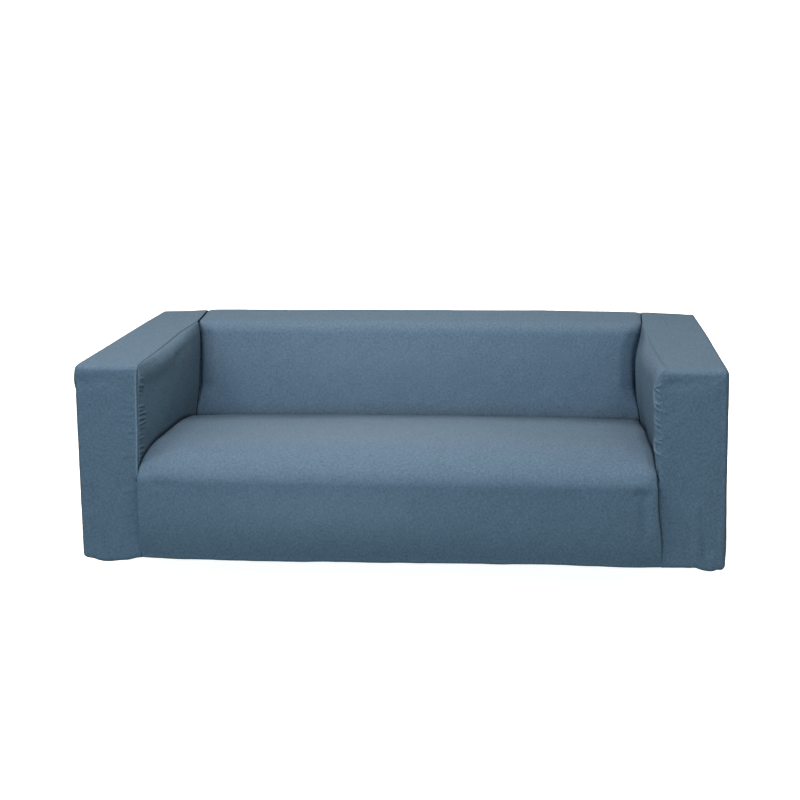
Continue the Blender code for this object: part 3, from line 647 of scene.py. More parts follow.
# ---------------- the panels
def arm_band(arm):
    """The strip over an arm, its front and its top in one piece."""
    y, z = band_path().T
    lift = smooth(SEAT_ROLL_Z, SHOULDER_Z, z)
    seam = arm_x(arm, *into_groove(arm, y, z), front_roll=lift) + arm.seam_gap / 2
    inset = max(SEAM_SLOPE, 0.9 * arm.seam_r) * shares(9)
    mitre = np.where(z <= HEM, y, 0.0)
    inner = seam[:, None] + inset
    outer = HALF_WIDTH - mitre[:, None] - EDGE_STEPS[::-1]
    outer[:, -1] -= SEAM_GAP / 2
    flat = np.linspace(inner[:, -1], outer[:, 0], 40, axis=1)
    x = np.concatenate([inner, flat[:, 1:-1], outer], axis=1)
    place, away = box_skin(x, y[:, None], z[:, None])
    turned = np.maximum(arm.seam_r * np.sin(pi / 4) - inset, 0.0)
    front_dip = arm.seam_r - np.sqrt(arm.seam_r ** 2 - turned**2)
    top_dip = arm.top_dip * (1.0 - inset / inset[-1]) ** 2
    share = front_share(y, z)[:, None]
    dip = share * front_dip + (1.0 - share) * top_dip * np.maximum(lift, 0.2)[:, None]
    place[:, : len(inset)] -= away[:, : len(inset)] * dip[..., None]
    place[..., 0] *= arm.sign
    away[..., 0] *= arm.sign
    away[:, 0] = seam_direction(arm, y, z)
    run = (y + z)[:, None] + 0.0 * x
    return Panel(place, away, run, np.minimum(x - seam[:, None], HALF_WIDTH - x + 0.001))


def arm_inside(arm):
    """An arm's face towards the seat."""
    sharp_y = joined(EDGE_STEPS, TOP_RUN)
    sharp_z = np.concatenate([HIGH_ROWS, ARM_TOP - EDGE_STEPS[-2::-1]])
    share = ((sharp_z - SHOULDER_Z) / (ARM_TOP - SHOULDER_Z))[:, None]
    foot = seat_height(SEAT_HALF, sharp_y) - CREASE_DROP
    y, z = into_groove(arm, sharp_y[None, :], sharp_z[:, None] + (foot - SHOULDER_Z) * (1.0 - share) ** 2)
    rear = TOP_RUN_END - BACK_LEAN * (ARM_TOP - arm.top_dip - z)
    behind = np.clip((y - EDGE_R) / (TOP_RUN_END - EDGE_R), 0.0, 1.0)
    y = y + behind * (rear - TOP_RUN_END)
    x = arm_x(arm, y, z)
    x[-1] -= arm.seam_gap / 2
    y[:, 0] += arm.seam_gap / 2
    place = np.stack([arm.sign * x, y, z], axis=-1)
    away = -arm.sign * grid_directions(place)
    away[:, 0] = seam_direction(arm, np.zeros_like(sharp_z), sharp_z)
    away[-1] = seam_direction(arm, sharp_y, np.full_like(sharp_y, ARM_TOP))
    return Panel(place, away, y - z, np.minimum(y, ARM_TOP - z))


def seat_hem(x, share):
    """The hem turned under the seat's front."""
    wide = HEM_TURN_CORNER + (HEM_TURN - HEM_TURN_CORNER) * smooth(0.0, 0.06, SEAT_HALF - np.abs(x))
    return EDGE_R + (wide - EDGE_R) * share - hem_stand(x), HEM


def hem_edge(x, place):
    """The rounding of the hem's edge: places below 0 are under it, those above 0 are up the front."""
    rounded = box_skin(0.0, max(-place, 0.0), HEM + max(place, 0.0))[0]
    return rounded[1] - hem_stand(x), rounded[2]


def seat_front(x, z):
    """The seat's front, which stands further out the higher it is."""
    rise = (z - HEM - EDGE_R) / (SEAT_ROLL_Z - HEM - EDGE_R)
    return -seat_bulge(x) + (seat_bulge(x) - hem_stand(x)) * (1.0 - rise) ** 3.5, z


def seat_roll(x, turn):
    """The seat's front roll."""
    y = SEAT_ROLL_Y - (SEAT_ROLL_Y + seat_bulge(x)) * np.cos(turn)
    return y, SEAT_ROLL_Z + (seat_top(x, SEAT_ROLL_Y) - SEAT_ROLL_Z) * np.sin(turn)


def crease(x):
    """Where the seat meets the back."""
    z = seat_top(x, BACK_FOOT_Y - 0.01)
    return back_y(x, z) - CREASE_GAP, z


def seat_lie(x, share):
    """The seat's top from its front roll to the crease."""
    y = SEAT_ROLL_Y + (crease(x)[0] - CREASE_R - SEAT_ROLL_Y) * share
    return y, seat_top(x, y)


def seat_tuck(x, turn):
    """The seat's cloth rolling down into the crease, parallel to the back's face."""
    z = seat_top(x, crease(x)[0] - CREASE_R) - CREASE_R * (1.0 - np.cos(turn))
    return back_y(x, z) - CREASE_GAP - CREASE_R * (1.0 - np.sin(turn)), z


def seat_end(x, drop):
    """The end of the seat's cloth in the crease."""
    z = crease(x)[1] - drop
    return back_y(x, z) - CREASE_GAP, z


def back_roll_start(x):
    """Lean of the back's face where its top roll starts."""
    swell = BACK_SWELL * across(x, 3.0) * 2.0 * (BACK_ROLL_Z - BACK_SWELL_Z) / BACK_SWELL_REACH**2
    return np.arctan(BACK_LEAN + swell)


def back_face(x, share):
    """The back's face from below the crease to its top roll."""
    foot = crease(x)[1] - CREASE_DROP
    end = ARM_TOP - BACK_ROLL_R * (1.0 - np.sin(back_roll_start(x)))
    z = foot + (end - foot) * share
    return back_y(x, z), z


def back_roll(x, share):
    """The roll from the back's face to its top."""
    lean = back_roll_start(x)
    face_y, face_z = back_face(x, 1.0)
    turn = lean + (pi / 2 - lean) * share
    y = face_y + BACK_ROLL_R * (np.cos(lean) - np.cos(turn))
    return y, face_z + BACK_ROLL_R * (np.sin(turn) - np.sin(lean))


def back_top(x, share):
    """The back's flat top."""
    start = back_roll(x, 1.0)[0]
    return start + (DEPTH - EDGE_R - start) * share, ARM_TOP


def back_rear(x, inset):
    """The rounding from the back's top to the rear."""
    rounded = box_skin(0.0, DEPTH - inset, ARM_TOP)[0]
    return rounded[1], rounded[2]


def side_between(first, second, share):
    """A side's radius, depth and gap between two others."""
    return first + (second - first) * share


def seat_rows():
    """Each row of the seat's panel: its shape, its place along that shape and its sides."""
    rows = [(seat_hem, share, HEM_SIDE) for share in np.linspace(1.0, 0.0, 8)[:-1]]
    rows += [(hem_edge, place, HEM_SIDE) for place in (*-EDGE_STEPS[::-1], *EDGE_STEPS[1:])]
    for z in steps(HEM + EDGE_R, SEAT_ROLL_Z, 0.0045)[1:]:
        rows.append((seat_front, z, side_between(HEM_SIDE, FRONT_SIDE, smooth(HEM, 0.20, z))))
    for turn in np.radians(np.linspace(0.0, 90.0, 45))[1:]:
        rows.append((seat_roll, turn, side_between(FRONT_SIDE, TOP_SIDE, turn / (pi / 2))))
    for share in shares(61)[1:]:
        rows.append((seat_lie, share, side_between(TOP_SIDE, TUCK_SIDE, smooth(0.6, 1.0, share))))
    rows += [(seat_tuck, turn, TUCK_SIDE) for turn in ROLL_TURNS]
    rows.append((seat_end, CREASE_DROP, TUCK_SIDE))
    return rows


def back_rows():
    """Each row of the back's panel: its shape, its place along that shape and its sides."""
    rows = []
    for share in shares(46):
        rows.append((back_face, share, side_between(TUCK_SIDE, BACK_SIDE, smooth(*BACK_SIDE_WIDENS, share))))
    for share in shares(11)[1:]:
        rows.append((back_roll, share, side_between(BACK_SIDE, BACK_TOP_SIDE, share)))
    rows += [(back_top, share, BACK_TOP_SIDE) for share in shares(21)[1:]]
    rows += [(back_rear, inset, BACK_TOP_SIDE) for inset in (*EDGE_STEPS[-2:0:-1], SEAM_GAP / 2)]
    return rows


def drawn_side(arm, rows, keep_behind):
    """Columns of points down a panel's side towards an arm: its roll, and then its hidden run."""
    x = arm.sign * SEAT_HALF
    edge = np.array([shape(x, place) for shape, place, _ in rows], float)
    radius, depth, gap = np.array([side for _, _, side in rows]).T
    if rows[0][0] is seat_hem:
        wider = smooth(SHOULDER_Z - 0.04, SHOULDER_Z + 0.03, edge[:, 1])
        radius = radius * (1.0 + (arm.seat_roll - 1.0) * wider)
        depth = np.maximum(depth, radius + 0.001)
    run = np.gradient(edge, axis=0)
    out = np.stack([-run[:, 1], run[:, 0]], axis=-1)
    out = out / np.linalg.norm(out, axis=-1, keepdims=True)
    turns = (0.0, *ROLL_TURNS)
    insets = [radius * (1.0 - np.sin(turn)) for turn in turns] + [0.0 * radius]
    depths = [radius * (1.0 - np.cos(turn)) for turn in turns] + [depth]
    columns = []
    for inset, deep in zip(insets, depths):
        y, z = (edge - out * deep[:, None]).T
        if deep is depth:
            y = np.maximum(y, keep_behind)
        beside = -SIDE_OVERLAP if deep is depth else gap
        away_from_middle = arm_x(arm, y, z, 0.0) - beside - inset
        columns.append(np.stack([arm.sign * away_from_middle, y, z], axis=-1))
    return columns


def drawn_panel(rows, keep_behind):
    """A panel between the arms."""
    left = drawn_side(ARMS["left"], rows, keep_behind)
    right = drawn_side(ARMS["right"], rows, keep_behind)
    spread = left[0][:, :1] + (right[0][:, :1] - left[0][:, :1]) * SEAT_COLUMNS[1:-1]
    middle = [
        np.stack(np.broadcast_arrays(x, *shape(x, place)), axis=-1)
        for x, (shape, place, _) in zip(spread, rows)
    ]
    sides = [np.stack(columns, axis=1) for columns in (left[::-1], right)]
    place = np.concatenate([sides[0], np.array(middle), sides[1]], axis=1)
    for _ in range(EASE_TIMES):
        for low, high in ((EASE_FROM, EASE_TO), (-EASE_TO, -EASE_FROM)):
            beside = place[:, low - 1 : high - 1] + place[:, low + 1 : high + 1]
            place[:, low:high] = 0.5 * place[:, low:high] + 0.25 * beside
    run = run_along(place, 0)
    rolled = ROLL_REACH * np.cos(np.array((0.0, *ROLL_TURNS, pi / 2)))
    inner = place[:, len(rolled) : -len(rolled), 0]
    from_left, from_right = inner - place[:, len(rolled) - 1, :1], place[:, -len(rolled), :1] - inner
    from_roll = ROLL_REACH + np.minimum(from_left, from_right)
    beside = np.broadcast_to(rolled, (len(rows), len(rolled)))
    return Panel(place, grid_directions(place), run, np.hstack([beside[:, ::-1], from_roll, beside]))


def seat():
    """The seat's top and front in one piece."""
    rows = seat_rows()
    on_front = [shape in (seat_front, seat_roll) for shape, _, _ in rows]
    return drawn_panel(rows, np.where(on_front, BEHIND_FRONT, -1.0))


def back():
    """The back's face and top in one piece."""
    panel = drawn_panel(back_rows(), -1.0)
    sideways = panel.away[-1, :, :1]
    seam = np.sqrt(1.0 - sideways**2) * box_skin(0.0, DEPTH - SEAM_GAP / 2, ARM_TOP)[1]
    panel.away[-1] = np.hstack([sideways, seam[:, 1:]])
    return panel._replace(seam_away=np.minimum(panel.seam_away, panel.seam_run[-1] - panel.seam_run))


def wall(length, pitch):
    """An outer wall's grid: the place along it, how far it's turned under, and its height."""
    rows = [(turned, HEM) for turned in steps(HEM_TURN, EDGE_R, 0.006)[:-1]]
    rows += [(turned, HEM) for turned in EDGE_STEPS[::-1]]
    upright = steps(HEM + EDGE_R, ARM_TOP - EDGE_R, pitch)
    heights = joined(HEM + EDGE_STEPS, upright, ARM_TOP - EDGE_STEPS[:0:-1])
    rows += [(0.0, z) for z in heights[1:]] + [(0.0, ARM_TOP - SEAM_GAP / 2)]
    places = joined(EDGE_STEPS, steps(EDGE_R, length - EDGE_R, pitch), length - EDGE_STEPS[::-1])
    places[[0, -1]] += SEAM_GAP / 2, -SEAM_GAP / 2
    turned, z = (np.array(values)[:, None] for values in zip(*rows))
    share = np.clip((turned - EDGE_R) / (HEM_TURN - EDGE_R), 0.0, 1.0)
    turned = np.minimum(turned, EDGE_R) + (hem_turn(places, length) - EDGE_R) * share
    mitre = np.minimum(turned, HEM_TURN_CORNER)
    return places + mitre * (1.0 - 2.0 * places / length), turned, z


def wall_panel(length, place, away, places, z):
    """An outer wall's panel, with its distance from its seams."""
    from_end = np.minimum(places, length - places)
    return Panel(place, away, places + z, np.minimum(from_end, ARM_TOP - z) + 0.001)


def arm_outside(arm):
    """An arm's outer face."""
    places, turned, z = wall(DEPTH, 0.0070)
    place, away = box_skin(arm.sign * (HALF_WIDTH - turned), places, z)
    return wall_panel(DEPTH, place, away, places, z)


def back_outside():
    """The rear face, as wide as the whole cover."""
    places, turned, z = wall(2.0 * HALF_WIDTH, 0.0090)
    place, away = box_skin(places - HALF_WIDTH, DEPTH - turned, z)
    return wall_panel(2.0 * HALF_WIDTH, place, away, places, z)


# ---------------- the cloth's own relief
def fold(points, start, end, width, height):
    """How far a soft ridge or trough lifts these points."""
    start = np.array(start)
    run = np.array(end) - start
    share = (points - start) @ run / (run @ run)
    off = points - start - np.clip(share, 0.0, 1.0)[..., None] * run
    near = np.exp(-(off**2).sum(axis=-1) / width**2)
    return height * near * smooth(0.0, FADE_IN, share) * (1.0 - smooth(1.0 - FADE_OUT, 1.0, share))


def swelling(points, at, reach, height):
    """How far a rounded swelling or hollow lifts these points."""
    return height * np.exp(-(((points - at) / reach) ** 2).sum(axis=-1))


def pucker(from_seam, z, side, up, reach, fall, width, height):
    """How far a pucker lifts the cloth at these distances behind an arm's front seam."""
    share = (from_seam + PUCKER_LEAD[side]) / (PUCKER_REACH * reach + PUCKER_LEAD[side])
    off = (z - up + fall * np.maximum(share, 0.0) ** PUCKER_BEND[side]) / width
    ends = smooth(0.03, 0.14, share) * (1.0 - smooth(0.35, 1.0, share))
    return PUCKER_HEIGHT * height * ends * np.cos(PUCKER_WAVE * off) * np.exp(-(off**2))


def unevenness(points):
    """The slow unevenness of all the cloth."""
    return sum(height * np.sin(2.0 * pi * (points @ turns + shift)) for turns, shift, height in UNEVENNESS)


def gathers(run, away):
    """Small gathers along a seam, which die away with the distance from it."""
    turns = 2.0 * pi * run
    waves = sum(
        share * np.sin(turns / pitch + wander * np.sin(turns / over))
        for pitch, wander, over, share in GATHERS
    )
    return GATHER_HEIGHT * waves * smooth(0.0, 0.0025, away) * np.exp(-away / GATHER_REACH)


def puckers(name, panel):
    """How far the puckers at an arm's front seam lift this panel's cloth."""
    x, y, z = np.moveaxis(panel.place, -1, 0)
    side = name.rpartition("_")[2]
    from_seam = y - groove(ARMS[side])
    if name.startswith("arm_band"):
        upright = (np.abs(x) < BAND_INNER_SIDE) & (y < 0.02) & (z < 0.64)
        from_seam = np.where(upright, -panel.seam_away, -1.0)
    return sum(pucker(from_seam, z, side, *row) for row in PUCKERS[side])


def relief(name, panel):
    """How far this panel's cloth stands out of its smooth form."""
    points = panel.place
    lifted = unevenness(points) * smooth(0.0, 0.02, panel.seam_away)
    lifted = lifted + gathers(panel.seam_run, panel.seam_away)
    lifted = lifted + sum(fold(points, *row) for row in FOLDS.get(name, ()))
    lifted = lifted + sum(swelling(points, *row) for row in SWELLINGS.get(name, ()))
    if name == "arm_inside_left":
        lifted = lifted + puckers(name, panel)
    lifted = lifted * smooth(0.0, FLAT_AT_SEAM, panel.seam_away)
    if name in ("arm_inside_right", "arm_band_right"):
        lifted = lifted + puckers(name, panel)
    return lifted


def painted_crease_shade(name, points):
    """Shade painted into the cloth's colour: in the creases around the seat, over the seat's rear and over
    the right arm's inner face.
    """
    x, y, z = np.moveaxis(points, -1, 0)
    if name.startswith("arm_inside"):
        off = (z - seat_height(SEAT_HALF, y) + ARM_CREASE_RISE) / ARM_CREASE_REACH
        if name.endswith("right"):
            low = INNER_SHADE_LOW * (1.0 - smooth(*INNER_SHADE_FADES, z))
            inner = smooth(*INNER_SHADE_RUN, y) * (INNER_SHADE + low)
            return np.maximum(inner, CREASE_SHADES[name] * np.exp(-(np.maximum(off, 0.0) ** 2)))
    elif name == "back_inside":
        off = (z - seat_top(x, BACK_FOOT_Y)) / BACK_CREASE_REACH
    elif name == "seat_front":
        # The seat's rear is painted darker towards the back, as shade.
        return CREASE_SHADES[name] * smooth(*SEAT_PAINTED_SHADE, y)
    else:
        return 0.0
    return CREASE_SHADES[name] * np.exp(-(np.maximum(off, 0.0) ** 2))


def seam_and_painted_shade(name, panel):
    """1 in the stitched seams and the deep creases, and 0 away from them: the stitches and the painted shade
    in the seams' grooves, the painted crease shade and the painted shade in the nips.
    """
    stitches = 0.75 + 0.25 * np.sin(2.0 * pi * panel.seam_run / STITCH_PITCH)
    on_left_top = (panel.place[..., 2] > ARM_TOP - EDGE_R / 2) * name.endswith("left")
    reach = SEAM_SHADE_REACH + TOP_SHADE_REACH * on_left_top
    stitched = QUIET_SEAMS.get(name, 1.0) * stitches * np.exp(-((panel.seam_away / reach) ** 2))
    shade = np.maximum(stitched, painted_crease_shade(name, panel.place))
    # Painted shade in the nips beside the arms' front seams.
    for row in NIP_SHADES.get(name, ()):
        shade = np.maximum(shade, fold(panel.place, *row))
    return shade


def rubbed_and_paler_cloth(name, panel):
    """Where the cloth is painted paler: in patches on the seat and the back, and where its fibres are rubbed
    pale along the left arm's front edge.
    """
    if name != "arm_band_left":
        return 0.0 * panel.seam_away + sum(swelling(panel.place, *row) for row in PALE_PATCHES.get(name, ()))
    off = (panel.seam_away - WEAR_FROM_SEAM) / WEAR_WIDTH
    upright = front_share(panel.place[..., 1], panel.place[..., 2])
    towards_seat = np.abs(panel.place[..., 0]) < BAND_INNER_SIDE
    return upright * towards_seat * np.exp(-(off**2))


# ---------------- sewing
def turned_in(place, away, axis, end):
    """A sheet with the allowance that turns in behind the seam along one of its edges."""
    edge, out = np.take(place, [end], axis=axis), np.take(away, [end], axis=axis)
    deeper = [edge - out * depth for depth in ALLOWANCE]
    if end == 0:
        return np.concatenate([*deeper[::-1], place], axis=axis)
    return np.concatenate([place, *deeper], axis=axis)


def carried_on(values, axis, end):
    """Values of a sheet, carried on over its allowance."""
    extra = [np.take(values, [end], axis=axis)] * len(ALLOWANCE)
    return np.concatenate([*extra, values] if end == 0 else [values, *extra], axis=axis)


def sheet_mesh(name, place, outward, shades):
    """A grid of cloth as a mesh with its own flat pattern in metres, its faces outwards."""
    rows, columns = place.shape[:2]
    bm = bmesh.new()
    bmesh.ops.create_grid(bm, x_segments=columns - 1, y_segments=rows - 1, size=1.0)
    order = []
    for vert in bm.verts:
        row = round((vert.co.y + 1.0) / 2.0 * (rows - 1))
        order.append(row * columns + round((vert.co.x + 1.0) / 2.0 * (columns - 1)))
    flat = place.reshape(-1, 3)
    for vert, station in zip(bm.verts, order):
        vert.co = flat[station]
    bm.normal_update()
    bm.verts.ensure_lookup_table()
    middle = bm.verts[len(bm.verts) // 2]
    if middle.normal.dot(outward.reshape(-1, 3)[order[middle.index]].tolist()) < 0.0:
        bmesh.ops.reverse_faces(bm, faces=bm.faces[:])
    mesh = bpy.data.meshes.new(name)
    bm.to_mesh(mesh)
    bm.free()
    across_run = run_along(place, 1)
    across_run = across_run - across_run[:, columns // 2][:, None]
    pattern = np.stack([across_run, run_along(place, 0)], axis=-1).reshape(-1, 2)[order]
    corners = np.zeros(len(mesh.loops), int)
    mesh.loops.foreach_get("vertex_index", corners)
    mesh.uv_layers.new(name="pattern").data.foreach_set("uv", pattern[corners].ravel())
    for key, shade in shades.items():
        values = np.asarray(shade, np.float32).ravel()[order]
        mesh.attributes.new(key, "FLOAT", "POINT").data.foreach_set("value", values)
    mesh.shade_smooth()
    return mesh


def sew(name, panel, seams, material):
    """Makes one panel's sheet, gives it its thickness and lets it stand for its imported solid."""
    place = panel.place + panel.away * relief(name, panel)[..., None]
    away = panel.away
    shades = {"seam": seam_and_painted_shade(name, panel), "paling": rubbed_and_paler_cloth(name, panel)}
    for axis, end in seams:
        place = turned_in(place, away, axis, end)
        away = carried_on(away, axis, end)
        shades = {key: carried_on(shade, axis, end) for key, shade in shades.items()}
    settled = settle(place) + lumps(place) - HOLD
    mesh = sheet_mesh(name + "_cloth", settled, away, shades)
    mesh.materials.append(material)
    piece = placed(name + "_cloth", mesh)
    thickness = piece.modifiers.new("cloth thickness", "SOLIDIFY")
    thickness.thickness = bpy.context.scene.slipcover_cloth.thickness
    thickness.offset = -1.0
    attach(piece, "root")
    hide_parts(name)
    return piece


# ---------------- materials
# The colour of the stitched seams' dark line and of the painted shade in the seams, the creases and the nips.
SEAM_AND_SHADE_COLOUR = (0.006, 0.011, 0.017, 1.0)
# The colour of the rubbed edge and of the paler patches on the seat and the back.
PALER_COLOUR = (0.30, 0.40, 0.48, 1.0)
BUMP_DISTANCE = 0.0006

# Turns of the noise per metre across and along, for each layer of the heather.
WARP, WEFT, MOTTLE, CLOUD = (750.0, 95.0), (105.0, 700.0), (150.0, 150.0), (28.0, 28.0)

# How much the weave, the yarns and the mottling lift the surface.
WEAVE_LIFT, YARN_LIFT, MOTTLE_LIFT = 0.35, 0.9, 0.8


class Value:
    """A node's output, on which Python's operators add Math nodes."""

    def __init__(self, shader, socket):
        self.shader = shader
        self.socket = socket

    def math(self, operation, *others):
        sockets = dict(enumerate((self, *others)))
        return self.shader.node("ShaderNodeMath", {"operation": operation}, sockets)

    def __add__(self, other):
        return self.math("ADD", other)

    __radd__ = __add__

    def __sub__(self, other):
        return self.math("SUBTRACT", other)

    def __mul__(self, other):
        return self.math("MULTIPLY", other)


class Shader:
    """The nodes of a material or of the studio's light."""

    def __init__(self, tree):
        self.tree = tree
        self.tree.nodes.clear()

    def surface(self, colour, roughness, **sockets):
        """Ends the material in a matt surface."""
        sockets = {"Base Color": colour, "Roughness": roughness, "Specular IOR Level": 0.0, **sockets}
        end = self.node("ShaderNodeBsdfPrincipled", None, sockets)
        self.node("ShaderNodeOutputMaterial", None, {"Surface": end})

    def mixed(self, share, first, second):
        """Two colours mixed by this share."""
        sockets = {0: share, 6: first, 7: second}
        return self.node("ShaderNodeMix", {"data_type": "RGBA"}, sockets, output=2)

    def node(self, kind, settings=None, sockets=None, output=0):
        """Adds a node with these settings and these values or links on its sockets."""
        made = self.tree.nodes.new(kind)
        for key, value in (settings or {}).items():
            setattr(made, key, value)
        for key, value in (sockets or {}).items():
            if isinstance(value, Value):
                self.tree.links.new(value.socket, made.inputs[key])
            else:
                made.inputs[key].default_value = value
        return Value(self, made.outputs[output]) if made.outputs else made


def heather_cloth(settings):
    """Woven heather cloth: dark and light yarns, flecks, soft mottling and a fine weave."""
    material = bpy.data.materials.new("heather cloth")
    material.use_nodes = True
    shader = Shader(material.node_tree)
    pattern = shader.node("ShaderNodeUVMap", {"uv_map": "pattern"})

    def scaled(across_scale, along_scale):
        sockets = {0: pattern, 1: (across_scale, along_scale, 1.0)}
        return shader.node("ShaderNodeVectorMath", {"operation": "MULTIPLY"}, sockets)

    def noise(layer):
        sockets = {"Vector": scaled(*layer), "Scale": 1.0, "Detail": 2.0}
        return shader.node("ShaderNodeTexNoise", {"noise_dimensions": "2D"}, sockets)

    yarn = (noise(WARP) + noise(WEFT)) * 0.5
    mottle, cloud = noise(MOTTLE), noise(CLOUD)
    shade = 0.5 + (yarn - 0.5) * settings.yarn_contrast + (mottle - 0.5) * settings.mottle_contrast
    shade = shade + (cloud - 0.5) * settings.cloud_contrast
    colour = shader.mixed(shade, (*settings.dark_yarn, 1.0), (*settings.light_yarn, 1.0))
    # Darkened towards the seam colour: the stitches, and painted shade in the seams, the creases and the
    # nips.
    seam = shader.node("ShaderNodeAttribute", {"attribute_name": "seam"}, output=2)
    # Paled: the rubbed edge up the left arm's front, and the paler patches on the seat and the back.
    paling = shader.node("ShaderNodeAttribute", {"attribute_name": "paling"}, output=2)
    colour = shader.mixed(seam * settings.seam_and_painted_shade, colour, SEAM_AND_SHADE_COLOUR)
    colour = shader.mixed(paling * settings.rubbed_and_paler_cloth, colour, PALER_COLOUR)
    turns = 2.0 * pi / settings.weave_pitch
    warpwise = shader.node("ShaderNodeSeparateXYZ", None, {0: scaled(turns, turns)})
    weftwise = Value(shader, warpwise.socket.node.outputs[1])
    weave = warpwise.math("SINE") * weftwise.math("SINE")
    height = weave * WEAVE_LIFT + yarn * YARN_LIFT + mottle * MOTTLE_LIFT
    sockets = {"Strength": settings.weave_bump, "Distance": BUMP_DISTANCE, "Height": height}
    shader.surface(colour, 0.88, Normal=shader.node("ShaderNodeBump", None, sockets))
    return material


def studio_floor(settings):
    """The plain pale floor, evenly lit."""
    material = bpy.data.materials.new("pale floor")
    material.use_nodes = True
    shader = Shader(material.node_tree)
    colour = (*settings.floor_colour, 1.0)
    shader.surface(colour, 0.9, **{"Emission Color": colour, "Emission Strength": settings.floor_glow})
    return material


# ---------------- the stage
CAMERA_PLACE = (0.423, -3.629, 1.418)
CAMERA_YAW, CAMERA_PITCH, CAMERA_ROLL = radians(5.107), radians(8.406), radians(0.581)
FOCUS, MIDDLE_ACROSS, MIDDLE_DOWN, FRAME = 1357.349, 430.0, 288.4, 800.0
SENSOR = 36.0
STUDIO_RADIUS, STUDIO_HEIGHT, STUDIO_SWEEP = 9.0, 9.0, 2.0
SKY = (1.06, 1.02, 0.78, 1.0)

# The studio's lamps: name, place, size, tint and watts. They all face LAMPS_FACE.
COOL, WARM, PLAIN = (0.79, 1.00, 1.24), (1.26, 0.99, 0.89), (1.0, 1.0, 1.0)
LAMPS = (
    ("overhead", (0.0, 0.46, 3.6), (1.6, 1.2), WARM, 36.0),
    ("overhead left", (-1.15, 0.12, 3.81), (1.2, 1.2), WARM, 56.0),
    ("high left", (-2.41, -1.22, 3.21), (1.4, 1.4), WARM, 34.0),
    ("high right", (1.61, -0.77, 3.44), (1.4, 1.4), WARM, 20.0),
    ("near seat", (-0.1, -0.6, 2.2), (0.8, 0.8), PLAIN, 14.0),
    ("front", (-0.81, -4.6, 1.01), (2.4, 1.2), COOL, 84.0),
    ("front right", (1.9, -3.9, 1.5), (1.6, 1.2), COOL, 13.0),
    ("rear", (0.4, 5.2, 1.6), (2.4, 1.6), PLAIN, 70.0),
)
LAMPS_FACE = (0.0, 0.30, 0.40)


def placed(name, data):
    """A new object in the scene."""
    made = bpy.data.objects.new(name, data)
    bpy.context.scene.collection.objects.link(made)
    return made


def add_camera():
    """The photograph's view."""
    data = bpy.data.cameras.new("camera")
    data.sensor_width = SENSOR
    data.lens = FOCUS / FRAME * SENSOR
    data.shift_x = (FRAME / 2 - MIDDLE_ACROSS) / FRAME
    data.shift_y = (MIDDLE_DOWN - FRAME / 2) / FRAME
    camera = placed("camera", data)
    turn = Matrix.Rotation(CAMERA_YAW, 4, "Z") @ Matrix.Rotation(-CAMERA_PITCH, 4, "X")
    turn = turn @ Matrix.Rotation(CAMERA_ROLL, 4, "Y") @ Matrix.Rotation(pi / 2, 4, "X")
    camera.matrix_world = Matrix.Translation(np.array(CAMERA_PLACE) - HOLD) @ turn
    bpy.context.scene.camera = camera


def add_lamp(name, at, size, tint, watts):
    """One soft lamp."""
    data = bpy.data.lights.new(name, "AREA")
    data.shape = "RECTANGLE"
    data.size, data.size_y = size
    data.color = tint
    data.energy = watts
    lamp = placed(name, data)
    place = Matrix.Translation(np.array(at) - HOLD).to_translation()
    aim = Matrix.Translation(np.array(LAMPS_FACE) - HOLD).to_translation() - place
    lamp.location = place
    lamp.rotation_euler = aim.to_track_quat("-Z", "Y").to_euler()


def add_floor(settings):
    """A pale floor that sweeps up into the studio's wall all round."""
    bm = bmesh.new()
    bmesh.ops.create_circle(bm, cap_ends=True, segments=96, radius=STUDIO_RADIUS)
    rim = bm.edges[:]
    for turn in np.radians(np.linspace(0.0, 90.0, 13))[1:]:
        grown = bmesh.ops.extrude_edge_only(bm, edges=rim)["geom"]
        rim = [item for item in grown if isinstance(item, bmesh.types.BMEdge)]
        verts = [item for item in grown if isinstance(item, bmesh.types.BMVert)]
        for vert in verts:
            spread = (STUDIO_RADIUS + STUDIO_SWEEP * np.sin(turn)) / np.hypot(vert.co.x, vert.co.y)
            vert.co = (vert.co.x * spread, vert.co.y * spread, STUDIO_SWEEP * (1.0 - np.cos(turn)))
    grown = bmesh.ops.extrude_edge_only(bm, edges=rim)["geom"]
    for vert in (item for item in grown if isinstance(item, bmesh.types.BMVert)):
        vert.co.z = STUDIO_HEIGHT
    bmesh.ops.recalc_face_normals(bm, faces=bm.faces[:])
    bmesh.ops.translate(bm, verts=bm.verts[:], vec=-HOLD)
    mesh = bpy.data.meshes.new("floor")
    bm.to_mesh(mesh)
    bm.free()
    mesh.shade_smooth()
    mesh.materials.append(studio_floor(settings))
    floor = placed("floor", mesh)
    floor.visible_diffuse = False
    floor.visible_glossy = False
    floor.visible_shadow = False


def add_daylight(strength):
    """Even light from all round."""
    world = bpy.data.worlds.new("studio light")
    world.use_nodes = True
    shader = Shader(world.node_tree)
    light = shader.node("ShaderNodeBackground", None, {"Color": SKY, "Strength": strength})
    shader.node("ShaderNodeOutputWorld", None, {"Surface": light})
    bpy.context.scene.world = world


# ---------------- the add-on
def length_property(name, description, default, **limits):
    """A setting for a small length."""
    return FloatProperty(
        name=name, description=description, default=default, precision=4, unit="LENGTH", **limits
    )


def colour_property(name, description, default):
    """A setting for a colour."""
    return FloatVectorProperty(name=name, description=description, default=default, subtype="COLOR", size=3)


def amount_property(name, description, default, **limits):
    """A setting for an amount from 0 up."""
    return FloatProperty(name=name, description=description, default=default, min=0.0, **limits)


def share_property(name, description, default):
    """A setting for a share from 0 to 1."""
    return amount_property(name, description, default, max=1.0, subtype="FACTOR")


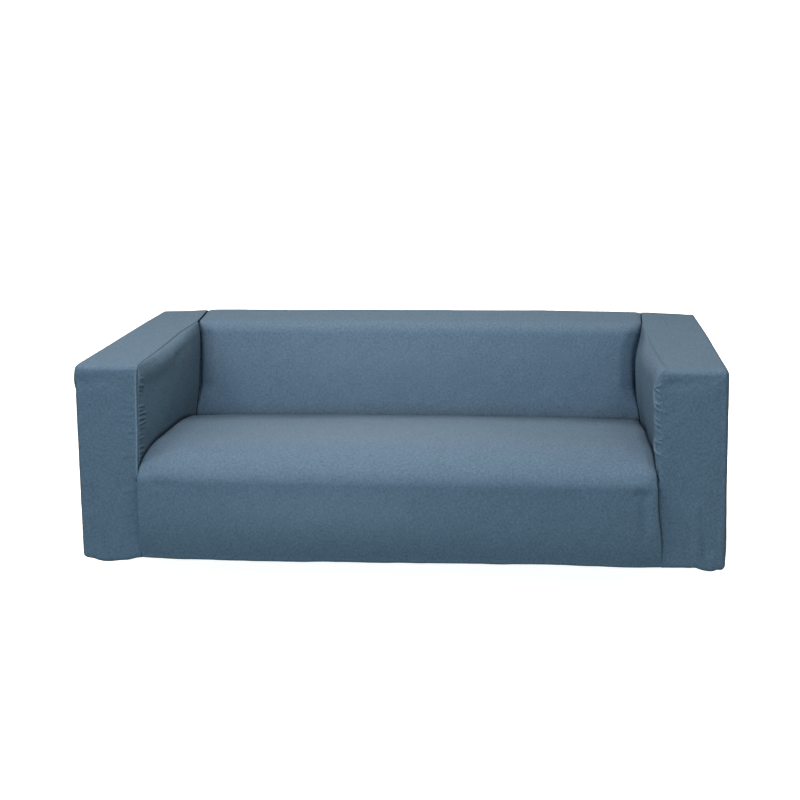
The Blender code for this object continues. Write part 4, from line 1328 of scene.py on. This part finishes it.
class SlipcoverCloth(bpy.types.PropertyGroup):
    """The cloth's sizes and colours."""

    thickness: length_property("Thickness", "Thickness of the cloth", 0.0016, min=0.0005, max=0.003)
    weave_pitch: length_property("Weave pitch", "Distance from one yarn to the next", 0.0013, min=0.0003)
    weave_bump: share_property("Weave relief", "How strongly the yarns stand out", 0.55)
    dark_yarn: colour_property("Dark yarn", "Colour of the darkest yarns", (0.0290, 0.0575, 0.0890))
    light_yarn: colour_property("Light yarn", "Colour of the lightest yarns", (0.122, 0.194, 0.276))
    yarn_contrast: amount_property("Yarn contrast", "How much single yarns differ", 0.9)
    mottle_contrast: amount_property("Mottling", "How much small patches differ", 0.5)
    cloud_contrast: amount_property("Clouding", "How much hand-sized patches differ", 0.12)
    # Also how dark the painted shade in the seams, the creases and the nips is.
    seam_and_painted_shade: share_property("Seam and crease shade", "How dark the stitched seams and the painted shade in seams and creases are", 0.75)
    # Also how pale the patches on the seat and the back are painted.
    rubbed_and_paler_cloth: share_property("Rubbed and paler cloth", "How pale the rubbed edge and the paler patches are", 0.22)


class SlipcoverStudio(bpy.types.PropertyGroup):
    """The studio's floor and light."""

    floor_colour: colour_property("Floor colour", "Colour of the floor and the wall", (0.93, 0.93, 0.93))
    floor_glow: amount_property("Floor light", "How evenly the floor is lit from within", 0.95)
    daylight: amount_property("Daylight", "Strength of the even light from all round", 0.41)
    lamps: amount_property("Lamps", "Strength of the lamps", 1.0)


class SLIPCOVER_OT_seat(bpy.types.Operator):
    """Sews the seat and its front"""

    bl_idname = "slipcover.seat"
    bl_label = "Seat and front"

    def execute(self, context):
        sew("seat_front", seat(), (), bpy.data.materials["heather cloth"])
        return {"FINISHED"}


class SLIPCOVER_OT_back(bpy.types.Operator):
    """Sews the back's face and top, and the rear wall"""

    bl_idname = "slipcover.back"
    bl_label = "Back"

    def execute(self, context):
        cloth = bpy.data.materials["heather cloth"]
        sew("back_inside", back(), ((0, -1),), cloth)
        sew("back_outside", back_outside(), ((0, -1), (1, 0), (1, -1)), cloth)
        return {"FINISHED"}


class SLIPCOVER_OT_arms(bpy.types.Operator):
    """Sews each arm's band, inner face and outer face"""

    bl_idname = "slipcover.arms"
    bl_label = "Arms"

    def execute(self, context):
        cloth = bpy.data.materials["heather cloth"]
        for side, arm in ARMS.items():
            sew("arm_band_" + side, arm_band(arm), ((1, 0), (1, -1), (0, -1)), cloth)
            sew("arm_inside_" + side, arm_inside(arm), ((1, 0), (0, -1)), cloth)
            sew("arm_outside_" + side, arm_outside(arm), ((0, -1), (1, 0), (1, -1)), cloth)
        return {"FINISHED"}


class SLIPCOVER_OT_cloth(bpy.types.Operator):
    """Mixes the heather cloth's material"""

    bl_idname = "slipcover.cloth"
    bl_label = "Heather cloth"

    def execute(self, context):
        heather_cloth(context.scene.slipcover_cloth)
        return {"FINISHED"}


class SLIPCOVER_OT_studio(bpy.types.Operator):
    """Sets up the floor, the light and the camera"""

    bl_idname = "slipcover.studio"
    bl_label = "Studio"

    def execute(self, context):
        settings = context.scene.slipcover_studio
        add_floor(settings)
        add_daylight(settings.daylight)
        for *lamp, watts in LAMPS:
            add_lamp(*lamp, watts * settings.lamps)
        add_camera()
        context.scene.view_settings.view_transform = "Standard"
        return {"FINISHED"}


class SLIPCOVER_PT_panel(bpy.types.Panel):
    """Lists the cover's pieces and its settings"""

    bl_idname = "SLIPCOVER_PT_panel"
    bl_label = "Slipcover"
    bl_space_type = "VIEW_3D"
    bl_region_type = "UI"
    bl_category = "Slipcover"

    def draw(self, context):
        for group in (context.scene.slipcover_cloth, context.scene.slipcover_studio):
            box = self.layout.box()
            for name in group.bl_rna.properties.keys():
                if name not in ("rna_type", "name"):
                    box.prop(group, name)
        for operator in OPERATORS:
            self.layout.operator(operator.bl_idname)


OPERATORS = (SLIPCOVER_OT_cloth, SLIPCOVER_OT_seat, SLIPCOVER_OT_back, SLIPCOVER_OT_arms, SLIPCOVER_OT_studio)
CLASSES = (SlipcoverCloth, SlipcoverStudio, *OPERATORS, SLIPCOVER_PT_panel)


def register():
    for each in CLASSES:
        bpy.utils.register_class(each)
    bpy.types.Scene.slipcover_cloth = PointerProperty(type=SlipcoverCloth)
    bpy.types.Scene.slipcover_studio = PointerProperty(type=SlipcoverStudio)


def unregister():
    del bpy.types.Scene.slipcover_studio
    del bpy.types.Scene.slipcover_cloth
    for each in reversed(CLASSES):
        bpy.utils.unregister_class(each)


def main():
    register()
    bpy.ops.slipcover.cloth()
    bpy.ops.slipcover.seat()
    bpy.ops.slipcover.back()
    bpy.ops.slipcover.arms()
    bpy.ops.slipcover.studio()


if __name__ == "__main__":
    main()
